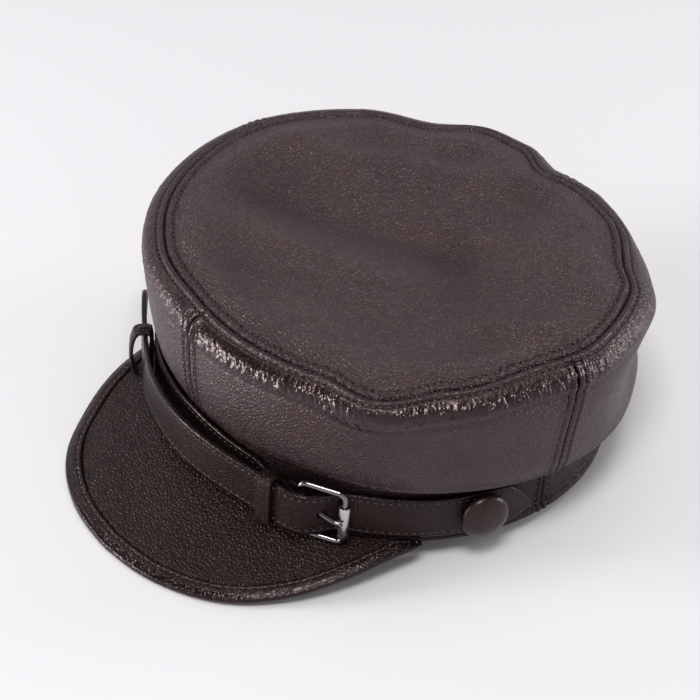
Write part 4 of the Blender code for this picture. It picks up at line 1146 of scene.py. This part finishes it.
# ----------------------------------------------------------------- the straps
def ribbon(name, node_name, path, wall, slot_half, open_from, open_to, sewn, stitch_range, step=0.62, twist=0.0):
    """Strap along rows of plan x, y, mid height and half width (mm). sewn is
    how far the sewn lines lie inside the edges."""
    path = np.asarray(path, float)
    s = np.r_[0, np.cumsum(np.linalg.norm(np.diff(path[:, :2], axis=0), axis=1))]
    n_rows = int(s[-1] / step) + 1
    at = np.linspace(0, s[-1], n_rows)
    at[np.argmin(abs(at - open_from))] = open_from
    at[np.argmin(abs(at - open_to))] = open_to
    path = np.stack([np.interp(at, s, path[:, k]) for k in range(4)], 1)
    # round off the polyline's corners
    for _ in range(4):
        path[1:-1] = 0.25 * path[:-2] + 0.5 * path[1:-1] + 0.25 * path[2:]
    tangent = unit(np.stack([np.gradient(path[:, 0], at), np.gradient(path[:, 1], at)], -1))
    normal = np.stack([tangent[:, 1], -tangent[:, 0]], -1)
    half = path[:, 3]
    # columns: -1..1 across, dense at both edges and at the slot
    edge = np.array([0.0, 0.12, 0.35, 0.7, 1.1, 1.5, 1.9, 2.3, 2.7, 3.2, 4.2, 5.6])
    cols = []
    for h in half:
        inner_cols = np.array([-slot_half, slot_half]) * min(1.0, h / 6.0)
        e = edge * min(1.0, h / 7.6)
        left = -h + e
        cols.append(np.r_[left, inner_cols, -left[::-1]])
    cols = np.array(cols)
    inset = half[:, None] - np.abs(cols)
    scale = np.minimum(1.0, half / 7.6)[:, None]
    round_off = np.sqrt(np.clip(1 - np.clip(1 - inset / 0.75, 0, 1) ** 2, 0.02, 1))
    S = np.repeat(at[:, None], cols.shape[1], 1)
    face = -0.20 * bump(inset, sewn, 0.34) + 0.10 * bump(inset, sewn - 1.0, 0.7) - 0.02
    face = face + 0.05 * np.cos(2 * math.pi * S / STITCH) * bump(inset, sewn, 0.7)
    face = face + 0.13 * noise(S / 13.0, cols / 7.0, 91) + 0.05 * noise(S / 2.2, cols / 2.2, 92) * bump(inset, 0.8, 1.6)
    o = (wall / 2) * round_off + face * scale
    i = -(wall / 2) * round_off
    z = path[:, 2][:, None] + cols

    def place(off):
        return np.stack([path[:, 0][:, None] + normal[:, 0][:, None] * off,
                         path[:, 1][:, None] + normal[:, 1][:, None] * off, z], -1)

    outer, inner = place(o), place(i)
    keep = np.ones((len(at) - 1, cols.shape[1] - 1), bool)
    middle = len(edge)
    a, b = int(np.argmin(abs(at - open_from))), int(np.argmin(abs(at - open_to)))
    keep[a:b, middle] = False
    # painted shade along the sewn lines and at the strap's edges; the edges are also made glossier and painted darker
    crease_shade = np.clip(0.5 * bump(inset, sewn, 0.3) + 0.4 * bump(inset, 0.0, 0.25), 0, 1)
    ob = sheet_object(name, outer, inner, 1, STRAP, keep=keep,
                      marks={"crease_shade": crease_shade, "gloss_and_shade": 0.2 + 0.7 * bump(inset, 0.6, 0.8)})
    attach(ob, "root")
    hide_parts(node_name)
    rows = []
    lo, hi = stitch_range
    use = (at >= lo) & (at <= hi)
    for side in (-1, 1):
        zz = path[:, 2] + side * (half - sewn * np.minimum(1, half / 7.6))
        off = wall / 2 - 0.16
        line = np.stack([path[:, 0] + normal[:, 0] * off, path[:, 1] + normal[:, 1] * off, zz], 1)[use]
        nn = np.stack([normal[:, 0], normal[:, 1], 0 * normal[:, 0]], 1)[use]
        rows.append(resample(line, nn, STITCH))
    return rows, at, path, normal


def buckle_axes():
    a = math.radians(BUCKLE_ANGLE)
    n = np.array([math.sin(a) / BAND_HALF_WIDTH, -math.cos(a) / BAND_HALF_DEPTH])
    n /= np.linalg.norm(n)
    x, y = oval(np.array(BUCKLE_ANGLE), BUCKLE_STAND_OFF)
    return np.array([float(x), float(y)]), np.array([-n[1], n[0]]), n


def buckle_point(along, out, up):
    middle, t, n = buckle_axes()
    along, out, up = np.broadcast_arrays(np.asarray(along, float), out, up)
    x = middle[0] + t[0] * along + n[0] * out
    y = middle[1] + t[1] * along + n[1] * out
    z = BUCKLE_MIDDLE_Z + up + along * math.tan(math.radians(BUCKLE_ROLL))
    return np.stack([x, y, z], -1)


def arc_at(path, point):
    path = np.asarray(path, float)
    s = np.r_[0, np.cumsum(np.linalg.norm(np.diff(path[:, :2], axis=0), axis=1))]
    return float(s[np.argmin(np.linalg.norm(path[:, :2] - np.asarray(point)[:2], axis=1))])


def straps():
    d = np.linspace(-57.5, 89.3, 600)
    off, z, half = np.moveaxis(spline(OUTER_STRAP, d), -1, 0)
    x, y = oval(d, off - STRAP_WALL / 2)
    path = np.stack([x, y, z, np.clip(half, 0.7, STRAP_HALF_WIDTH)], -1)
    first, last, half_hole = PRONG_HOLE
    s = np.r_[0, np.cumsum(np.linalg.norm(np.diff(path[:, :2], axis=0), axis=1))]
    a, b = float(np.interp(first, d, s)), float(np.interp(last, d, s))
    rows, *_ = ribbon("strap_outer_skin", "strap_outer", path, STRAP_WALL, half_hole, a, b, 2.2, (3.0, s[-1] - 3.0))

    d = np.linspace(-88.5, 29.4, 500)
    off, z, half = np.moveaxis(spline(INNER_STRAP, d), -1, 0)
    x, y = oval(d, off - INNER_STRAP_WALL / 2, dented=True)
    path = [row for row in zip(x, y, z, np.clip(half, 0.7, STRAP_HALF_WIDTH))]
    bar = -BUCKLE_LENGTH / 2
    radius = BUCKLE_WIRE + FOLD_CLEAR + INNER_STRAP_WALL / 2
    h = INNER_STRAP[-1][3]
    mid_z = float(buckle_point(bar, 0, 0)[2])
    mark = len(path) - 1
    for w in np.radians(np.linspace(112, -90, 24)):
        p = buckle_point(bar + radius * math.cos(w), radius * math.sin(w), 0)
        path.append((p[0], p[1], mid_z, h))
    for angle, off, zz, hw in FOLD_RETURN:
        x, y = oval(np.array(angle), off - INNER_STRAP_WALL / 2, dented=True)
        path.append((float(x), float(y), zz, hw))
    path = np.array(path)
    s = np.r_[0, np.cumsum(np.linalg.norm(np.diff(path[:, :2], axis=0), axis=1))]
    more, *_ = ribbon("strap_inner_skin", "strap_inner", path, INNER_STRAP_WALL, FOLD_SLOT_HALF, s[mark] - 1.0,
                      s[mark + 18], 2.2, (3.0, s[mark] - 12.0))
    stitch_mesh("strap_stitches", rows + more, radius=0.26)


def keeper(name, angle, inner_face, outer_face, z, half_height, yaw, roundness):
    a = math.radians(angle)
    n = np.array([math.sin(a) / BAND_HALF_WIDTH, -math.cos(a) / BAND_HALF_DEPTH])
    n /= np.linalg.norm(n)
    t = np.array([-n[1], n[0]])
    w = math.radians(yaw)
    n, t = n * math.cos(w) - t * math.sin(w), t * math.cos(w) + n * math.sin(w)
    x, y = oval(np.array(angle), (inner_face + outer_face) / 2)
    half_depth = (outer_face - inner_face) / 2
    q = 2 * math.pi * np.arange(160) / 160
    along = np.array([-1, -0.985, -0.94, -0.86, -0.74, -0.6, -0.45, -0.3, -0.15, 0, 0.15, 0.3, 0.45, 0.6, 0.74, 0.86,
                      0.94, 0.985, 1]) * KEEPER_LENGTH / 2
    A, Q = np.meshgrid(along, q, indexing="ij")
    inset = KEEPER_LENGTH / 2 - np.abs(A)
    rim = np.sqrt(np.clip(1 - np.clip(1 - inset / 0.6, 0, 1) ** 2, 0.03, 1))
    c, s = np.cos(Q), np.sin(Q)
    power = 2 / np.where(c > 0, roundness, 6.0)
    sc = lambda v, pw: np.sign(v) * np.abs(v) ** pw
    bulge = -0.14 * bump(inset, 1.5, 0.35) + 0.16 * bump(A, 0.0, 2.2)
    tight = smooth(0.55, 0.95, s)
    bulge = bulge + (0.10 + 0.24 * tight) * noise(A / 1.15, Q * 3.0, 55) + 0.08 * noise(A / 2.4, Q * 9.0, 56)

    def face(off):
        out = (half_depth + off) * sc(c, power)
        up = (half_height + off) * sc(s, power)
        return np.stack([x + n[0] * out + t[0] * A, y + n[1] * out + t[1] * A, z + up], -1)

    mid = -KEEPER_WALL / 2
    outer = face(mid + KEEPER_WALL / 2 * rim + bulge * np.clip(rim, 0, 1) - 0.05)
    inner = face(mid - KEEPER_WALL / 2 * rim)
    # painted shade in the groove near the keeper's ends; its tight side is made glossier and painted darker
    ob = sheet_object(name + "_skin", outer, inner, 1, STRAP, wrap=True,
                      marks={"crease_shade": 0.5 * bump(inset, 1.5, 0.3), "gloss_and_shade": 0.5 * tight})
    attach(ob, "root")
    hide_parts(name)


# ----------------------------------------------------------------- the buckle
def tube_rings(points, radii, closed, sides, flat=1.0):
    p = np.asarray(points, float)
    if closed:
        tangent = np.roll(p, -1, axis=0) - np.roll(p, 1, axis=0)
    else:
        tangent = np.gradient(p, axis=0)
    tangent = unit(tangent)
    _, _, out = buckle_axes()
    ref = np.array([out[0], out[1], 0.0])
    rings = []
    for q, g, r in zip(p, tangent, np.broadcast_to(radii, len(p))):
        u = np.cross(g, np.array([0, 0, 1.0])) if abs(g @ ref) > 0.9 else np.cross(g, ref)
        u = unit(u)
        v = unit(np.cross(g, u))
        a = 2 * math.pi * np.arange(sides) / sides
        rings.append(q + r * (np.cos(a)[:, None] * u + flat * np.sin(a)[:, None] * v))
    return np.array(rings)


def buckle():
    half_l, half_h, corner = BUCKLE_LENGTH / 2, BUCKLE_HEIGHT / 2, 3.0
    pts = []
    for sx, sy, start in ((1, 1, 0), (-1, 1, 90), (-1, -1, 180), (1, -1, 270)):
        for a in np.linspace(0, 90, 13):
            w = math.radians(start + a)
            pts.append(buckle_point(sx * (half_l - corner) + corner * math.cos(w), 0,
                                    sy * (half_h - corner) + corner * math.sin(w)))
    rings = tube_rings(pts, BUCKLE_WIRE, True, 28)
    ob = mesh_object("buckle_frame_fine", seat(rings).reshape(-1, 3), tube_faces(len(pts), 28, loop=True), CHROME, sharp=None)
    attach(ob, "root")
    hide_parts("buckle_frame")

    sides, drop = 64, -1.0
    lo, hi = drop - ROLLER_LENGTH / 2, drop + ROLLER_LENGTH / 2
    hollow = BUCKLE_WIRE + 0.35
    R = ROLLER_RADIUS
    prof = [(hollow, lo + 0.1), (hollow + 0.15, lo), (R - 0.35, lo), (R - 0.1, lo + 0.1), (R, lo + 0.35),
            (R, hi - 0.35), (R - 0.1, hi - 0.1), (R - 0.35, hi), (hollow + 0.15, hi), (hollow, hi - 0.1)]
    a = 2 * math.pi * np.arange(sides) / sides
    base_z = float(buckle_point(BUCKLE_LENGTH / 2, 0, 0)[2])
    rings = []
    for radius, up in prof:
        p = buckle_point(BUCKLE_LENGTH / 2 + radius * np.cos(a), radius * np.sin(a), 0)
        p[:, 2] = base_z + up
        rings.append(p)
    ob = mesh_object("buckle_roller_fine", seat(np.array(rings)).reshape(-1, 3),
                     tube_faces(len(prof), sides, loop=True), ROLLER, sharp=35)
    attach(ob, "root")
    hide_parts("buckle_roller")

    bar = -BUCKLE_LENGTH / 2
    reach = BUCKLE_WIRE + 0.35 + 0.85
    pts, radii = [], []
    for w in np.radians(np.linspace(185, 90, 14)):
        pts.append(buckle_point(bar + reach * math.cos(w), reach * math.sin(w), 0))
        radii.append(0.85)
    tip_out = R + 0.3 + PRONG_RADIUS
    # it dips under the strap, comes up through the hole and lies on the roller
    dip = ((0.0, reach), (0.22, 1.5), (0.40, 0.35), (0.54, 1.25), (0.74, 2.75), (1.0, tip_out), (1.03, tip_out))
    for share in np.linspace(0.06, 1.03, 34):
        radius = PRONG_RADIUS if share < 0.85 else PRONG_RADIUS * (1 - 0.55 * ((share - 0.85) / 0.18) ** 1.5)
        radius = min(radius, 0.85 + 1.5 * share)
        pts.append(buckle_point(bar + share * BUCKLE_LENGTH, float(spline(dip, share)[0]), 0))
        radii.append(radius)
    rings = tube_rings(pts, radii, False, 20)
    ob = mesh_object("buckle_prong_fine", seat(rings).reshape(-1, 3), tube_faces(len(pts), 20), CHROME, sharp=60)
    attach(ob, "root")
    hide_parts("buckle_prong")


# ---------------------------------------------------------------- the buttons
BUTTON_PROFILE = (
    # radius, height, in half diameters
    (0.40, 0.00), (0.42, 0.09), (0.60, 0.11), (0.88, 0.115), (0.965, 0.14), (0.995, 0.19), (1.00, 0.25),
    (0.985, 0.31), (0.95, 0.375), (0.90, 0.43), (0.83, 0.485), (0.74, 0.54), (0.62, 0.59), (0.50, 0.625),
    (0.37, 0.65), (0.24, 0.668), (0.12, 0.677),
)


def button(name, angle, z, face):
    a = math.radians(angle)
    n = np.array([math.sin(a) / BAND_HALF_WIDTH, -math.cos(a) / BAND_HALF_DEPTH, 0.0])
    n /= np.linalg.norm(n)
    t = np.array([-n[1], n[0], 0.0])
    base = on_band(np.array(float(angle)), face + 0.35, z)
    r = BUTTON_DIAMETER / 2
    sides = 128
    w = 2 * math.pi * np.arange(sides) / sides
    rings = []
    for k, (radius, height) in enumerate(BUTTON_PROFILE):
        wob = 1 + 0.006 * np.cos(3 * w + 1) + (0.010 * ring_noise(np.degrees(w), 40, k * 0.3, 66) if k < 5 else 0)
        rings.append(base + n * height * r + (radius * r * wob)[:, None] * (
            np.cos(w)[:, None] * t + np.sin(w)[:, None] * np.array([0, 0, 1.0])))
    rings = np.array(rings)
    verts = np.concatenate([rings.reshape(-1, 3), [base + n * 0.68 * r]])
    faces = tube_faces(len(BUTTON_PROFILE), sides, caps=False)
    faces.append(list(range(sides))[::-1])
    last = (len(BUTTON_PROFILE) - 1) * sides
    faces += [[last + k, last + (k + 1) % sides, len(verts) - 1] for k in range(sides)]
    ob = mesh_object(name + "_skin", seat(verts), faces, BUTTON, {"crease_shade": np.zeros(len(verts)), "gloss_and_shade": np.zeros(len(verts))})
    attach(ob, "root")
    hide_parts(name)


# ------------------------------------------------------------- stage and light
def stage():
    me = bpy.data.meshes.new("floor")
    s = 3.0
    me.from_pydata([(-s, -s, -0.0002), (s, -s, -0.0002), (s, s, -0.0002), (-s, s, -0.0002)], [], [(0, 1, 2, 3)])
    floor = bpy.data.objects.new("floor", me)
    bpy.context.collection.objects.link(floor)
    m = bpy.data.materials.new("floor")
    m.use_nodes = True
    b = m.node_tree.nodes["Principled BSDF"]
    b.inputs["Base Color"].default_value = (0.66, 0.656, 0.67, 1)
    b.inputs["Roughness"].default_value = 0.7
    b.inputs["Specular IOR Level"].default_value = 0.2
    me.materials.append(m)


def area(name, place, aim, size, power, colour=(1, 1, 1)):
    light = bpy.data.lights.new(name, "AREA")
    light.shape = "RECTANGLE"
    light.size, light.size_y = size
    light.energy = power
    light.color = colour
    ob = bpy.data.objects.new(name, light)
    bpy.context.collection.objects.link(ob)
    ob.location = place
    ob.rotation_euler = (Vector(aim) - Vector(place)).to_track_quat("-Z", "Y").to_euler()
    return ob


def camera():
    az, el = math.radians(53), math.radians(39)
    back = Vector((math.sin(az) * math.cos(el), -math.cos(az) * math.cos(el), math.sin(el)))
    right = Vector((math.cos(az), math.sin(az), 0))
    up = back.cross(right)
    target = Vector((BOX_SHIFT_X * MM, BOX_SHIFT_Y * MM, 0.05)) + right * -0.0143 + up * -0.015
    cam = bpy.data.cameras.new("camera")
    cam.sensor_width = 36
    cam.lens = 2380 / 700 * 36
    cam.clip_start = 0.05
    ob = bpy.data.objects.new("camera", cam)
    bpy.context.collection.objects.link(ob)
    m = Matrix((right, up, back)).transposed().to_4x4()
    m.translation = target + back * 1.0
    ob.matrix_world = m
    bpy.context.scene.camera = ob
    return back, right, up


def lights(back, right, up):
    world = bpy.data.worlds.new("world")
    world.use_nodes = True
    # a pale room with a dim ceiling
    t = world.node_tree
    bg = t.nodes["Background"]
    co = t.nodes.new("ShaderNodeTexCoord")
    parts = t.nodes.new("ShaderNodeSeparateXYZ")
    t.links.new(co.outputs["Generated"], parts.inputs[0])
    room = ramp(t, parts.outputs["Z"], ((0.0, (0.98, 0.95, 0.98)), (0.50, (0.90, 0.86, 0.90)), (0.74, (0.12, 0.10, 0.11)),
                                       (1.0, (0.12, 0.10, 0.11))))
    t.links.new(room, bg.inputs[0])
    bg.inputs[1].default_value = 0.80
    bpy.context.scene.world = world
    aim = (0, 0.01, 0.05)
    flat = Vector((back.x, back.y, 0)).normalized()
    left = -right
    area("key", Vector(aim) + flat * 1.00 + left * 0.05 + Vector((0, 0, 2.2)), aim, (0.82, 0.70), 37.0)
    area("over", Vector(aim) - flat * 0.30 + right * 0.25 + Vector((0, 0, 1.9)), aim, (1.3, 1.3), 9.5)
    area("left", Vector(aim) + flat * 0.10 + left * 1.1 + Vector((0, 0, 0.26)), aim, (0.4, 0.5), 11.0)
    area("right", Vector(aim) + right * 1.1 - flat * 0.25 + Vector((0, 0, 0.30)), aim, (0.4, 0.5), 5.0)


# ------------------------------------------------------------------------ all
for key, (start, end) in PANELS.items():
    crown_side(key, start, end)
crown_top()
crown_stitches()
headband()
visor()
visor_binding()
straps()
for row in KEEPERS:
    keeper(*row)
buckle()
for row in BUTTONS:
    button(*row)
stage()
lights(*camera())
bpy.context.scene.view_settings.view_transform = "Standard"

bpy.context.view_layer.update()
